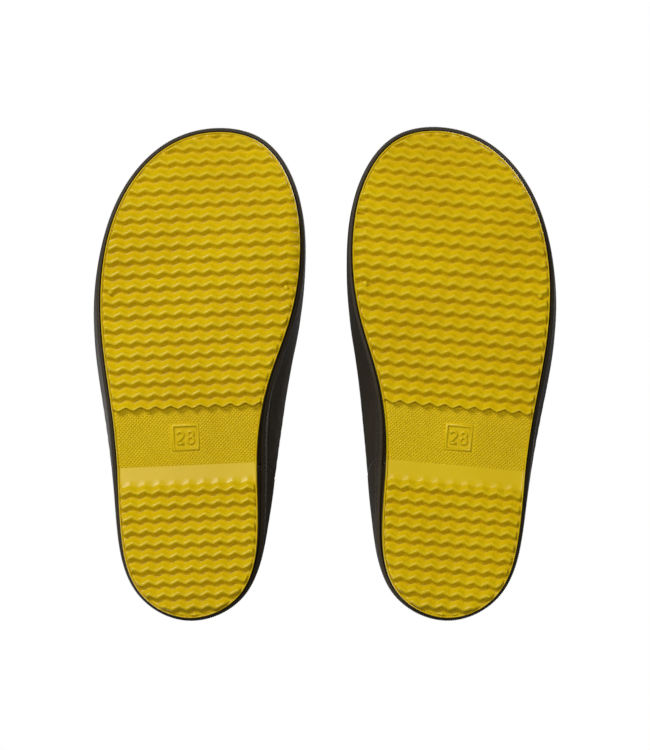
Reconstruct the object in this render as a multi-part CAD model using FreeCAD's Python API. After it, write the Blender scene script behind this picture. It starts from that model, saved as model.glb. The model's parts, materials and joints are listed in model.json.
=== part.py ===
import FreeCAD, Part
import functools
import math
import os

# A pair of child's rubber deck boots. Each boot is modelled as a right boot in its own frame, in
# millimetres: y runs from the heel tip to the toes, x to the outer side, z up from the tread's
# lowest face. The left boot is its mirror image, apart from the moulded size number. The pair
# stands on z = 0, toes towards +Y, with the right boot at +X and the origin under the middle.

V = FreeCAD.Vector
os.makedirs("parts", exist_ok=True)

# ---- Overall sizes
sole_length = 198.0
sole_width = 80.1           # across the ball of the foot
boot_height = 205.0
collar_length = 104.0       # heel to shin across the top edge
collar_width = 59.0
collar_y = 52.0             # middle of the top edge, from the heel tip
heel_spacing = 107.3        # between the two heel tips
right_toe_in = 2.25         # degrees, how far each boot is turned towards -X
left_toe_out = 0.35

# ---- Outsole
heel_height = 14.0
forefoot_thickness = 7.0
toe_spring = 7.0            # rise of the toe tip
spring_start = 145.0
heel_bevel = 1.5
bevel_length = 10.0
breast_y = 56.0             # front of the heel block
waist_start = 62.0
waist_end = 87.5
waist_drop = 1.4            # the waist panel lies this much higher at the heel than at the front
waist_clearance = 3.2       # height of the waist panel above the ground, at the front
ramp_end = 104.0            # where the top of the sole has come down to the forefoot

# ---- Tread
rib_height = 2.4
rib_pitch = 5.6
rib_width = 3.5
zigzag_period = 6.25
zigzag_depth = 1.6
tread_skew = 4.75           # degrees between the ribs' own axis and the boot's
rib_inset = 1.2             # how far the ribs stop short of the sole's edge
rib_root = 0.8              # how deep a rib is rooted in the sole
end_margin = 1.6            # plain edge at the heel tip, the toe tip and beside the breast

# ---- Moulded size number
badge_width = 11.0
badge_length = 10.7
badge_line = 1.0
badge_relief = 0.8
badge_x = 3.0
badge_y = 72.3
digit_height = 5.7
digit_radius = 1.65
digit_stroke = 0.9
digit_spacing = 4.1

# ---- Layers of the upper, all bonded with a thin line of adhesive
bond_line = 0.1
rubber_wall = 2.0
lining_wall = 1.2
rand_wall = 1.3
foxing_wall = 1.5
foxing_below = 1.5          # how far the foxing strip laps over the sole
foxing_above = 3.0
back_strip_wall = 1.2
back_strip_width = 14.0
collar_band_wall = 1.3
collar_band_height = 12.0
board_thickness = 1.5
insole_thickness = 4.5
insole_clearance = 0.8

# ---- Seams, in side view
counter_height = 56.0       # top of the heel counter at the back of the heel
rand_height = 32.0          # top of the rand at the waist
toe_cap_height = 37.0
seam_gap = 0.3
counter_foot_y = 70.0       # where counter and rand meet, at the sole and at the top
counter_top_y = 57.0

# ---- Heel filler
filler_length = 36.0
filler_width = 29.0
filler_depth = 7.0
filler_corner = 9.0
filler_y = 30.0

# ---- Pull loop
loop_width = 12.0
loop_height = 26.0
loop_depth = 10.0
loop_wall = 1.8
loop_drop = 3.0             # from the collar's edge to the top of the loop

# ---- How finely the shapes are drawn
ring_points = 28
overshoot = 12.0            # how far cutting shapes run past the boot
half_space = 75.0

# Outline of the sole, from the heel tip round the outer side to the toe tip and back along the
# inner side, for a sole of the pattern size.
pattern_length = 198.0
pattern_width = 80.1
outer_side = [(-0.5, 0), (19, 9.5), (27.7, 34), (30.1, 58), (33.2, 82), (37.5, 106),
              (39.7, 130), (37.4, 154), (27.6, 178), (13.8, 192)]
inner_side = [(-5, 198), (-22, 194.6), (-35.3, 178), (-40.4, 154), (-37.2, 122), (-30, 98),
              (-26.2, 70), (-27.7, 38), (-21.3, 10)]

# Level curves of the upper: back y and z, front y and z, half width, how far the shape has turned
# from the sole's outline (0) to an ellipse (1), and its share of the flare at the waist.
foot_levels = [(-0.4, 1, 198.4, 1, 40.4, 0.0, 0.11), (-0.4, 10, 198.4, 12, 40.4, 0.0, 0.16),
               (0, 21, 198.4, 22, 40.5, 0.0, 0.74), (0, 35, 195, 34, 39.9, 0.1, 1.0),
               (0.5, 50, 186, 43, 37.4, 0.25, 0.95), (2, 65, 169, 50, 34.2, 0.45, 0.75),
               (4, 80, 149, 58, 31.6, 0.66, 0.45), (5, 95, 130, 70, 29.8, 0.86, 0.2),
               (5, 110, 115, 88, 29.2, 1.0, 0.0)]
outer_flare = 3.0           # how far the upper bulges over the sole's edge on each side
inner_flare = 7.2
outer_flare_y = 100.0       # where it bulges most, and how far from there it fades
inner_flare_y = 76.0
outer_flare_reach = 75.0
inner_flare_reach = 46.0
ankle_y = (4.0, 105.0)
ankle_z = (130.0, 113.0)
ankle_half_width = 29.2
leg_shares = [0.0, 0.35, 0.7, 1.0]

length_scale = sole_length / pattern_length
width_scale = sole_width / pattern_width


def spline(points, closed=False):
    """A smooth curve through the points."""
    curve = Part.BSplineCurve()
    curve.interpolate(Points=points, PeriodicFlag=closed)
    return curve


def even_ring(points):
    """A closed smooth curve through points that all rings of a loft share one spacing for."""
    curve = Part.BSplineCurve()
    spacing = [i / len(points) for i in range(len(points) + 1)]
    curve.interpolate(Points=points, PeriodicFlag=True, Parameters=spacing)
    return Part.Wire(curve.toShape())


def sole_ring():
    """Evenly spaced points round the sole's edge: half on the outer side, half on the inner."""
    sides = outer_side + inner_side
    points = [V(x * width_scale, y * length_scale, 0) for x, y in sides]
    curve = spline(points, closed=True)
    toe = curve.parameter(points[len(outer_side)])
    ends = ((curve.FirstParameter, toe), (toe, curve.LastParameter))
    ring = []
    for start, end in ends:
        edge = Part.Edge(curve, start, end)
        ring += edge.discretize(Number=ring_points // 2 + 1)[:-1]
    return ring


SOLE = sole_ring()


def outline_prism(inset, low, high):
    """The sole's outline, drawn in by an inset, as a prism between two heights."""
    count = len(SOLE)
    points = []
    for i, point in enumerate(SOLE):
        along = SOLE[(i + 1) % count] - SOLE[i - 1]
        outward = V(along.y, -along.x, 0).normalize()
        points.append(point - outward * inset + V(0, 0, low))
    face = Part.Face(Part.Wire(spline(points, closed=True).toShape()))
    return face.extrude(V(0, 0, high - low))


def level_list():
    """All level curves, from the sole up to just above the top edge."""
    levels = []
    for back_y, back_z, front_y, front_z, half, roundness, flare in foot_levels:
        levels.append((back_y * length_scale, back_z * length_scale, front_y * length_scale,
                       front_z * length_scale, half * width_scale, roundness, flare))
    middle = collar_y * length_scale
    for share in leg_shares:
        ankle = (ankle_y[0] * length_scale, ankle_y[1] * length_scale)
        back_y = ankle[0] + share * (middle - collar_length / 2 - ankle[0])
        front_y = ankle[1] + share * (middle + collar_length / 2 - ankle[1])
        back_z = ankle_z[0] * length_scale + share * (boot_height - ankle_z[0] * length_scale)
        front_z = ankle_z[1] * length_scale + share * (boot_height - ankle_z[1] * length_scale)
        half = ankle_half_width * width_scale
        half += share * (collar_width / 2 - half)
        levels.append((back_y, back_z, front_y, front_z, half, 1.0, 0.0))
    back_y, back_z, front_y, front_z, half, roundness, flare = levels[-1]
    levels.append((back_y, back_z + overshoot, front_y, front_z + overshoot, half, roundness, flare))
    return levels


def side_flare(side, y):
    """How far the upper bulges sideways over the sole's edge at its fullest level."""
    if side > 0:
        place = (y / length_scale - outer_flare_y) / outer_flare_reach
        return outer_flare * width_scale * side * math.exp(-place ** 2)
    place = (y / length_scale - inner_flare_y) / inner_flare_reach
    return inner_flare * width_scale * side * math.exp(-place ** 2)


def level_points(level):
    """One level curve: a blend of the sole's outline and an ellipse, on a tilted plane."""
    back_y, back_z, front_y, front_z, half, roundness, flare = level
    points = []
    for i, edge in enumerate(SOLE):
        turn = 2 * math.pi * i / len(SOLE)
        across = (1 - roundness) * edge.x / (sole_width / 2) + roundness * math.sin(turn)
        along = (1 - roundness) * edge.y / sole_length + roundness * (0.5 - 0.5 * math.cos(turn))
        bulge = flare * side_flare(math.sin(turn), edge.y)
        points.append(V(across * half + bulge, back_y + along * (front_y - back_y),
                        back_z + along * (front_z - back_z)))
    return points


GRID = [level_points(level) for level in level_list()]


@functools.lru_cache(maxsize=None)
def upper_form(offset):
    """The solid inside the upper's outer face, grown outwards by an offset."""
    rings = []
    last = len(GRID) - 1
    for k, ring in enumerate(GRID):
        points = []
        for i, point in enumerate(ring):
            around = ring[(i + 1) % len(ring)] - ring[i - 1]
            upward = GRID[min(k + 1, last)][i] - GRID[max(k - 1, 0)][i]
            if k in (0, last):
                upward = V(0, 0, 1)
            outward = around.cross(upward).normalize()
            points.append(point + outward * offset)
        rings.append(even_ring(points))
    return Part.makeLoft(rings, True, False)


def layer(inner, outer):
    """The shell between two offsets of the upper's outer face, open at the top and bottom."""
    return upper_form(outer).cut(upper_form(inner))


def side_prism(paths):
    """A region of the side view (y, z) through the whole boot. Each path starts where the last
    one ends; two points make a straight line and more make a smooth curve."""
    edges = []
    for path in paths:
        points = [V(-half_space, y, z) for y, z in path]
        if len(points) == 2:
            edges.append(Part.makeLine(*points))
        else:
            edges.append(spline(points).toShape())
    return Part.Face(Part.Wire(edges)).extrude(V(2 * half_space, 0, 0))


def polygon_prism(corners):
    """A straight-sided region of the side view."""
    closed = corners + corners[:1]
    return side_prism([closed[i:i + 2] for i in range(len(corners))])


def toe_rise(y):
    """How far the sole has lifted off the ground towards the toe."""
    start = spring_start * length_scale
    return toe_spring * max(0.0, (y - start) / (sole_length - start)) ** 2


def sole_top(y):
    """Height of the sole's upper face."""
    start = breast_y * length_scale
    end = ramp_end * length_scale
    share = min(1.0, max(0.0, (end - y) / (end - start)))
    eased = share * share * (3 - 2 * share)
    return forefoot_thickness + (heel_height - forefoot_thickness) * eased + toe_rise(y)


def tread_face(y):
    """Height of the ribs' lowest faces."""
    bevel = max(0.0, (bevel_length - y) / bevel_length) ** 2
    return heel_bevel * bevel + toe_rise(y)


def profile(height, shift, start, end, steps):
    """Points of a height function, between two places along the boot."""
    stations = [start + (end - start) * i / steps for i in range(steps + 1)]
    return [(y, height(y) + shift) for y in stations]


def tread_paths(shift, start, end):
    """The ribs' lowest faces in side view: the heel's bevel, the flat part and the toe spring."""
    turns = [y for y in (bevel_length, spring_start * length_scale) if start < y < end]
    stops = [start] + turns + [end]
    paths = []
    for low, high in zip(stops, stops[1:]):
        flat = tread_face(low) == tread_face(high)
        paths.append(profile(tread_face, shift, low, high, 1 if flat else CURVE_STEPS))
    return paths


def turned_back(paths):
    """The same chain of paths, run the other way."""
    return [path[::-1] for path in paths[::-1]]


BACK = -overshoot
FRONT = sole_length + overshoot
FAR_BACK = BACK - half_space
PROFILE_STEPS = 14
CURVE_STEPS = 6


def sole_top_path(shift):
    """The sole's upper face in side view, from back to front."""
    return profile(sole_top, shift, BACK, FRONT, PROFILE_STEPS)


def above_sole(shift):
    """Everything higher than the sole's upper face plus a shift."""
    path = sole_top_path(shift)
    roof = boot_height + 2 * overshoot
    return side_prism([path, [path[-1], (FRONT, roof)], [(FRONT, roof), (FAR_BACK, roof)],
                       [(FAR_BACK, roof), (FAR_BACK, path[0][1])], [(FAR_BACK, path[0][1]), path[0]]])


def band_on_sole(low, high):
    """The space between two heights above the sole's upper face."""
    floor = sole_top_path(low)
    roof = sole_top_path(high)[::-1]
    return side_prism([floor, [floor[-1], roof[0]], roof, [roof[-1], floor[0]]])


def sole_body():
    """The outsole without its ribs: heel block, ramp, waist and forefoot."""
    breast = breast_y * length_scale
    ramp = waist_start * length_scale
    waist = waist_end * length_scale
    heel_floor = tread_paths(rib_height, BACK, breast)
    fore_floor = tread_paths(rib_height, waist, FRONT)
    waist_high = waist_clearance + waist_drop
    roof = sole_top_path(0)[::-1]
    arch = [heel_floor[-1][-1], (ramp, waist_high), (waist, waist_clearance), fore_floor[0][0]]
    chain = heel_floor + [arch[i:i + 2] for i in range(len(arch) - 1)] + fore_floor
    chain += [[fore_floor[-1][-1], roof[0]], roof, [roof[-1], heel_floor[0][0]]]
    return outline_prism(0, -overshoot, heel_height + 2 * overshoot).common(side_prism(chain))


def rib_face(middle):
    """A zigzag rib in plan view, in the tread's own frame."""
    half_turns = math.ceil(sole_width / zigzag_period) + 1
    front = []
    back = []
    for i in range(-half_turns, half_turns + 1):
        x = i * zigzag_period / 2
        zig = zigzag_depth / 2 * (1 if i % 2 else -1)
        front.append(V(x, middle + zig + rib_width / 2, 0))
        back.append(V(x, middle + zig - rib_width / 2, 0))
    corners = front + back[::-1]
    return Part.Face(Part.makePolygon(corners + corners[:1]))


def rib_zone(start, end):
    """Where ribs may be, between two places along the boot: inside the plain edge, from the
    tread's face to their roots in the sole."""
    floor = tread_paths(0, start, end)
    roof = turned_back(tread_paths(rib_height + rib_root, start, end))
    zone = side_prism(floor + [[floor[-1][-1], roof[0][0]]] + roof + [[roof[-1][-1], floor[0][0]]])
    return zone.common(outline_prism(rib_inset, -overshoot, 2 * overshoot))


def ribs(start, end):
    """All ribs between two places along the boot."""
    tall = rib_height + toe_spring + 2 * rib_root
    count = int((end - start) / rib_pitch)
    first = (start + end - (count - 1) * rib_pitch) / 2
    drawn = []
    for i in range(-1, count + 1):
        rib = rib_face(first + i * rib_pitch).extrude(V(0, 0, tall))
        rib.rotate(V(0, 0, 0), V(0, 0, 1), -tread_skew)
        rib.translate(V(0, 0, -rib_root))
        drawn.append(rib)
    zone = rib_zone(start, end)
    return [solid for rib in drawn for solid in rib.common(zone).Solids if solid.Volume > 1.0]


def ring_solid(outer, thickness, height):
    """A flat ring round the z axis, standing on z = 0."""
    return Part.makeCylinder(outer, height).cut(Part.makeCylinder(outer - thickness, height))


def digit_eight(height):
    """Two stacked rings."""
    rise = digit_height / 2 - digit_radius
    lower = ring_solid(digit_radius, digit_stroke, height)
    upper = lower.copy()
    upper.translate(V(0, rise, 0))
    lower.translate(V(0, -rise, 0))
    return lower.fuse(upper)


def digit_two(height):
    """A three-quarter ring, a slanting stroke and a foot."""
    rise = digit_height / 2 - digit_radius
    foot_y = -digit_height / 2
    hook = ring_solid(digit_radius, digit_stroke, height)
    hook.translate(V(0, rise, 0))
    gap = Part.makeBox(2 * digit_radius, 2 * digit_radius, height)
    gap.translate(V(-2 * digit_radius + digit_stroke / 4, rise - 2 * digit_radius, 0))
    hook = hook.cut(gap)
    foot = Part.makeBox(2 * digit_radius, digit_stroke, height)
    foot.translate(V(-digit_radius, foot_y, 0))
    corners = [V(-digit_radius, foot_y, 0), V(-digit_radius + digit_stroke, foot_y, 0),
               V(digit_radius * 0.8, rise - digit_radius * 0.6, 0),
               V(digit_stroke / 4, rise - digit_radius * 0.9, 0)]
    stroke = Part.Face(Part.makePolygon(corners + corners[:1])).extrude(V(0, 0, height))
    return hook.fuse([foot, stroke])


def size_badge(side):
    """The raised square with the size number, seen the right way round from underneath."""
    tall = rib_height + waist_drop + waist_clearance
    frame = Part.makeBox(badge_width, badge_length, tall)
    window = Part.makeBox(badge_width - 2 * badge_line, badge_length - 2 * badge_line, tall)
    frame.translate(V(-badge_width / 2, -badge_length / 2, 0))
    window.translate(V(badge_line - badge_width / 2, badge_line - badge_length / 2, 0))
    two = digit_two(tall)
    eight = digit_eight(tall)
    two.translate(V(-digit_spacing / 2, 0, 0))
    eight.translate(V(digit_spacing / 2, 0, 0))
    digits = two.fuse(eight).mirror(V(0, 0, 0), V(1, 0, 0))
    badge = frame.cut(window).fuse(digits)
    if side < 0:
        badge = badge.mirror(V(0, 0, 0), V(1, 0, 0))
    badge.rotate(V(0, 0, 0), V(0, 0, 1), -tread_skew)
    badge.translate(V(badge_x * width_scale, badge_y * length_scale, 0))
    ramp = waist_start * length_scale
    waist = waist_end * length_scale
    lift = waist_clearance - badge_relief
    zone = polygon_prism([(ramp, lift + waist_drop), (waist, lift), (waist, lift + 2 * badge_relief),
                          (ramp, lift + waist_drop + 2 * badge_relief)])
    return badge.common(zone)


def filler_block(clearance, depth, top):
    """A block with round corners, sunk in the top of the heel."""
    width = filler_width - 2 * clearance
    length = filler_length - 2 * clearance
    block = Part.makeBox(width, length, depth)
    upright = [edge for edge in block.Edges if abs(edge.tangentAt(0).z) > 0.9]
    block = block.makeFillet(filler_corner - clearance, upright)
    block.translate(V(-width / 2, filler_y * length_scale - length / 2, top - depth))
    return block


def ribbed_sole():
    """The moulded sole with its ribs and a pocket in the heel."""
    heel = ribs(end_margin, breast_y * length_scale - end_margin / 2)
    fore = ribs(waist_end * length_scale, sole_length - end_margin)
    pocket = filler_block(0, filler_depth + overshoot, heel_height + overshoot)
    return sole_body().cut(pocket).fuse(heel + fore)


def heel_filler():
    """The light block in the heel's pocket."""
    return filler_block(bond_line, filler_depth - bond_line, heel_height)


def insole_board():
    """The stiff board that closes the upper from below."""
    return upper_form(-rubber_wall - 2 * bond_line).common(band_on_sole(bond_line, board_top()))


def board_top():
    """Height of the board's upper face above the sole's upper face."""
    return bond_line + board_thickness


def insole():
    """The loose footbed that lies on the board."""
    inner = rubber_wall + bond_line + lining_wall + insole_clearance
    low = board_top() + bond_line
    return upper_form(-inner).common(band_on_sole(low, low + insole_thickness))


def under_top():
    """Everything below the boot's top edge."""
    return polygon_prism([(FAR_BACK, -overshoot), (FRONT, -overshoot), (FRONT, boot_height),
                          (FAR_BACK, boot_height)])


def lining():
    """The textile sock bonded inside the rubber."""
    outer = -rubber_wall - bond_line
    shell = layer(outer - lining_wall, outer)
    return shell.common(above_sole(board_top() + bond_line)).common(under_top())


def throat_seam(shift):
    """The seam between vamp and leg in side view, from the instep down to the sole."""
    seam = [(150, 111), (108, 91), (80, 62), (66, 30), (60, -12)]
    return [(y * length_scale + shift, z * length_scale) for y, z in seam]


def vamp_and_leg():
    """The rubber upper in its two parts, which meet at the throat seam."""
    shell = layer(-rubber_wall, 0).common(above_sole(bond_line)).common(under_top())
    front = throat_seam(0)
    back = throat_seam(-bond_line)
    low = -overshoot * length_scale
    high = boot_height + overshoot
    vamp_zone = side_prism([front, [front[-1], (FRONT, low)], [(FRONT, low), (FRONT, front[0][1])],
                            [(FRONT, front[0][1]), front[0]]])
    leg_zone = side_prism([back, [back[-1], (FAR_BACK, low)], [(FAR_BACK, low), (FAR_BACK, high)],
                           [(FAR_BACK, high), (back[0][0], high)], [(back[0][0], high), back[0]]])
    return shell.common(vamp_zone), shell.common(leg_zone)


def rand_and_counter():
    """The textured rubber round the toe and the stiffener round the heel."""
    shell = layer(bond_line, bond_line + rand_wall).common(above_sole(foxing_above + seam_gap))
    foot = (counter_foot_y * length_scale, 0)
    top = (counter_top_y * length_scale, rand_height)
    counter_zone = polygon_prism([(BACK, 0), foot, top, (BACK, counter_height)])
    foot = (foot[0] + seam_gap, 0)
    top = (top[0] + seam_gap, rand_height)
    middle = (sole_length * 0.6, rand_height - 1)
    edge = [top, middle, (sole_length * 0.88, rand_height), (FRONT, toe_cap_height)]
    rand_zone = side_prism([edge, [edge[-1], (FRONT, 0)], [(FRONT, 0), foot], [foot, top]])
    return shell.common(rand_zone), shell.common(counter_zone)


def foxing_strip():
    """The thin strip over the joint of sole and upper."""
    shell = layer(bond_line, bond_line + foxing_wall)
    return shell.common(band_on_sole(-foxing_below, foxing_above))


def back_strip():
    """The strip over the seam at the back of the leg, from the counter to the collar band."""
    shell = layer(bond_line, bond_line + back_strip_wall)
    high = boot_height - collar_band_height - seam_gap
    slope = (counter_height - rand_height) / (counter_top_y * length_scale - BACK)
    middle = collar_y * length_scale
    low = counter_height + seam_gap
    zone = polygon_prism([(FAR_BACK, low), (BACK, low), (middle, low - slope * (middle - BACK)),
                          (middle, high), (FAR_BACK, high)])
    width = Part.makeBox(back_strip_width, 2 * middle, high)
    width.translate(V(-back_strip_width / 2, -middle, 0))
    return shell.common(zone).common(width)


def collar_band():
    """The band round the outside of the top edge."""
    shell = layer(bond_line, bond_line + collar_band_wall)
    low = boot_height - collar_band_height
    zone = polygon_prism([(FAR_BACK, low), (FRONT, low), (FRONT, boot_height),
                          (FAR_BACK, boot_height)])
    return shell.common(zone)


def bow(depth, height, y, z):
    """An arc standing off the back of the leg and its chord, as a prism as wide as the loop."""
    low = V(-loop_width / 2, y, z - height / 2)
    high = V(-loop_width / 2, y, z + height / 2)
    arc = Part.Arc(low, V(-loop_width / 2, y - depth, z), high).toShape()
    face = Part.Face(Part.Wire([arc, Part.makeLine(high, low)]))
    return face.extrude(V(loop_width, 0, 0))


def pull_loop():
    """A loop of webbing that stands off the back of the collar, for a finger or a hook."""
    band = collar_band_wall + 2 * bond_line
    wall_y = collar_y * length_scale - collar_length / 2 - band
    middle = boot_height - loop_drop - loop_height / 2
    outer = bow(loop_depth, loop_height, wall_y, middle)
    inner = bow(loop_depth - 2 * loop_wall, loop_height - 2 * loop_wall, wall_y - loop_wall, middle)
    return outer.cut(inner)


def make_boot():
    """Every piece that both boots share, but for the outsole."""
    vamp, leg = vamp_and_leg()
    rand, counter = rand_and_counter()
    return {"heel_filler": heel_filler(), "insole_board": insole_board(), "insole": insole(),
            "lining": lining(), "vamp": vamp, "leg": leg, "toe_rand": rand,
            "heel_counter": counter, "foxing_strip": foxing_strip(), "back_strip": back_strip(),
            "collar_band": collar_band(), "pull_loop": pull_loop()}


def place(shape, side):
    """Stand a piece of the right boot in the pair, mirrored for the left boot."""
    placed = shape.copy()
    if side < 0:
        placed = placed.mirror(V(0, 0, 0), V(1, 0, 0))
    turn = right_toe_in if side > 0 else left_toe_out
    placed.rotate(V(0, 0, 0), V(0, 0, 1), turn)
    placed.translate(V(side * heel_spacing / 2, 0, 0))
    return placed


def main():
    """Build both boots, centre the pair and write one file for each piece."""
    sole = ribbed_sole()
    shared = make_boot()
    pieces = {}
    for side, name in ((1, "right"), (-1, "left")):
        pieces["outsole_" + name] = place(sole.fuse(size_badge(side)), side)
        for node, shape in shared.items():
            pieces[node + "_" + name] = place(shape, side)
    box = Part.makeCompound(list(pieces.values())).optimalBoundingBox(False, False)
    shift = V(-box.Center.x, -box.Center.y, -box.ZMin)
    for node, shape in pieces.items():
        shape.translate(shift)
        solids = shape.Solids
        print("%-22s %2d solid(s) %10.1f mm3 valid %s" % (node, len(solids), shape.Volume,
                                                        shape.isValid()))
        Part.makeCompound(solids).exportStep("parts/" + node + ".step")
    print("shift", shift, "size", box.XLength, box.YLength, box.ZLength)


main()
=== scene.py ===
"""Looks of a pair of child's rubber deck boots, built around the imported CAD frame.

One boot is shaped in its own frame, in millimetres: y runs from the heel tip to the toes, x to the
outer side and z up from the tread. BootPlace stands it in the pair and mirrors it for the left.
"""

import json
import logging
import math
from dataclasses import dataclass, field
from enum import Enum
from typing import Callable, Optional, Sequence

import bmesh
import bpy
import numpy as np
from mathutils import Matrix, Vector


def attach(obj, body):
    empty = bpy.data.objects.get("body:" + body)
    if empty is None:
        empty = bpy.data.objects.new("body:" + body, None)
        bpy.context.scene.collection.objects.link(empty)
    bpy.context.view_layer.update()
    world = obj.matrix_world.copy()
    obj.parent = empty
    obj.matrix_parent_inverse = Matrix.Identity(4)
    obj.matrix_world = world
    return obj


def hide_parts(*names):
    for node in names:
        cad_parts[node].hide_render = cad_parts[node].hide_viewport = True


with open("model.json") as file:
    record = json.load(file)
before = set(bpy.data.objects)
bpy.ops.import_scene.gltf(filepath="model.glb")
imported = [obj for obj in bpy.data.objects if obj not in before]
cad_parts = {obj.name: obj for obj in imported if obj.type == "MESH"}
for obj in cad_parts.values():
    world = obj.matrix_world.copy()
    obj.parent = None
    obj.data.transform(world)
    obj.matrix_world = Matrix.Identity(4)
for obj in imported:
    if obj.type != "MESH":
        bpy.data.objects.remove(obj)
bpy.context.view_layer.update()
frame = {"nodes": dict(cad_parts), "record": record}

logging.basicConfig(level=logging.INFO, format="%(name)s: %(message)s")
log = logging.getLogger("deck_boots")

MM = 0.001
Array = np.ndarray
Rule = Callable[[Array, Array], Array]


class Side(Enum):
    """The two boots; the value is the sign of the boot's outer side along X."""
    RIGHT = 1
    LEFT = -1

    @property
    def word(self) -> str:
        """The side as it stands in node names."""
        return self.name.lower()


# ---------------------------------------------------------------- curves and tables

def spline_slopes(steps: Array, values: Array, closed: bool) -> Array:
    """Slopes of the smoothest cubic curve through some values.

    Args:
        steps: distances from each value to the next, with the closing one if closed.
        values: one row for each value.
        closed: whether the curve runs back to its first value.

    Returns:
        One row of slopes for each value.
    """
    count = len(values)
    system = np.zeros((count, count))
    target = np.zeros_like(values)
    for i in range(count):
        if not closed and i in (0, count - 1):
            other = 1 if i == 0 else count - 2
            step = steps[0] if i == 0 else steps[-1]
            rise = values[1] - values[0] if i == 0 else values[-1] - values[-2]
            system[i, i] = 2
            system[i, other] = 1
            target[i] = 3 * rise / step
            continue
        before, after = steps[i - 1], steps[i]
        ahead = (i + 1) % count
        system[i, i - 1] += after
        system[i, i] += 2 * (before + after)
        system[i, ahead] += before
        target[i] = 3 * (after * (values[i] - values[i - 1]) / before
                         + before * (values[ahead] - values[i]) / after)
    return np.linalg.solve(system, target)


def hermite(low: Array, high: Array, slope_low: Array, slope_high: Array, step: Array,
            share: Array) -> Array:
    """Points of cubic curve pieces from their end values and end slopes."""
    square = share * share
    cube = square * share
    return ((2 * cube - 3 * square + 1) * low + (cube - 2 * square + share) * step * slope_low
            + (3 * square - 2 * cube) * high + (cube - square) * step * slope_high)


class SmoothTable:
    """A smooth curve through rows of values at rising places."""

    def __init__(self, places: Sequence[float], rows: Sequence[Sequence[float]]) -> None:
        """Fit the curve.

        Args:
            places: where the rows lie, in rising order.
            rows: the values at each place.
        """
        self.places = np.array(places, float)
        self.rows = np.array(rows, float)
        self.steps = np.diff(self.places)
        self.slopes = spline_slopes(self.steps, self.rows, closed=False)

    def at(self, place: Array) -> Array:
        """Values at any places; the last axis holds one row's values."""
        inside = np.clip(place, self.places[0], self.places[-1])
        k = np.clip(np.searchsorted(self.places, inside) - 1, 0, len(self.steps) - 1)
        share = ((inside - self.places[k]) / self.steps[k])[..., None]
        return hermite(self.rows[k], self.rows[k + 1], self.slopes[k], self.slopes[k + 1],
                       self.steps[k][..., None], share)


def closed_curve(points: Array, samples: int) -> tuple[Array, Array]:
    """Sample a smooth closed curve.

    Args:
        points: the points it passes through.
        samples: how many samples each stretch between two points gets.

    Returns:
        The sampled points, closed, and the sample index of each given point.
    """
    chords = np.linalg.norm(np.roll(points, -1, 0) - points, axis=1)
    slopes = spline_slopes(chords, points, closed=True)
    share = (np.arange(samples) / samples)[:, None]
    pieces = []
    for i, chord in enumerate(chords):
        ahead = (i + 1) % len(points)
        pieces.append(hermite(points[i], points[ahead], slopes[i], slopes[ahead], chord, share))
    return np.vstack(pieces + [points[:1]]), np.arange(len(points)) * samples


def by_length(points: Array, count: int) -> Array:
    """Space points evenly along a line of points, without the last one."""
    lengths = np.concatenate([[0], np.cumsum(np.linalg.norm(np.diff(points, axis=0), axis=1))])
    wanted = np.linspace(0, lengths[-1], count + 1)[:-1]
    return np.stack([np.interp(wanted, lengths, points[:, k]) for k in range(points.shape[1])], 1)


def ease(share: Array) -> Array:
    """A soft step from 0 to 1."""
    inside = np.clip(share, 0, 1)
    return inside * inside * (3 - 2 * inside)


def bump(distance: Array, width: float) -> Array:
    """A soft hump of height 1 at distance 0."""
    return np.exp(-(distance / width) ** 2)


def unit(vectors: Array) -> Array:
    """Vectors with the same directions and length 1; the last axis holds one vector."""
    return vectors / np.linalg.norm(vectors, axis=-1, keepdims=True)


def bisect(low: Array, high: Array, passed: Callable[[Array], Array]) -> Array:
    """Close in on the places where a test turns true.

    Args:
        low: places before the turn.
        high: places after it.
        passed: takes places, and is true past the turn.

    Returns:
        The places of the turn.
    """
    for _ in range(32):
        middle = (low + high) / 2
        past = passed(middle)
        high = np.where(past, middle, high)
        low = np.where(past, low, middle)
    return (low + high) / 2


# ---------------------------------------------------------------- the boot's form

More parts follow.
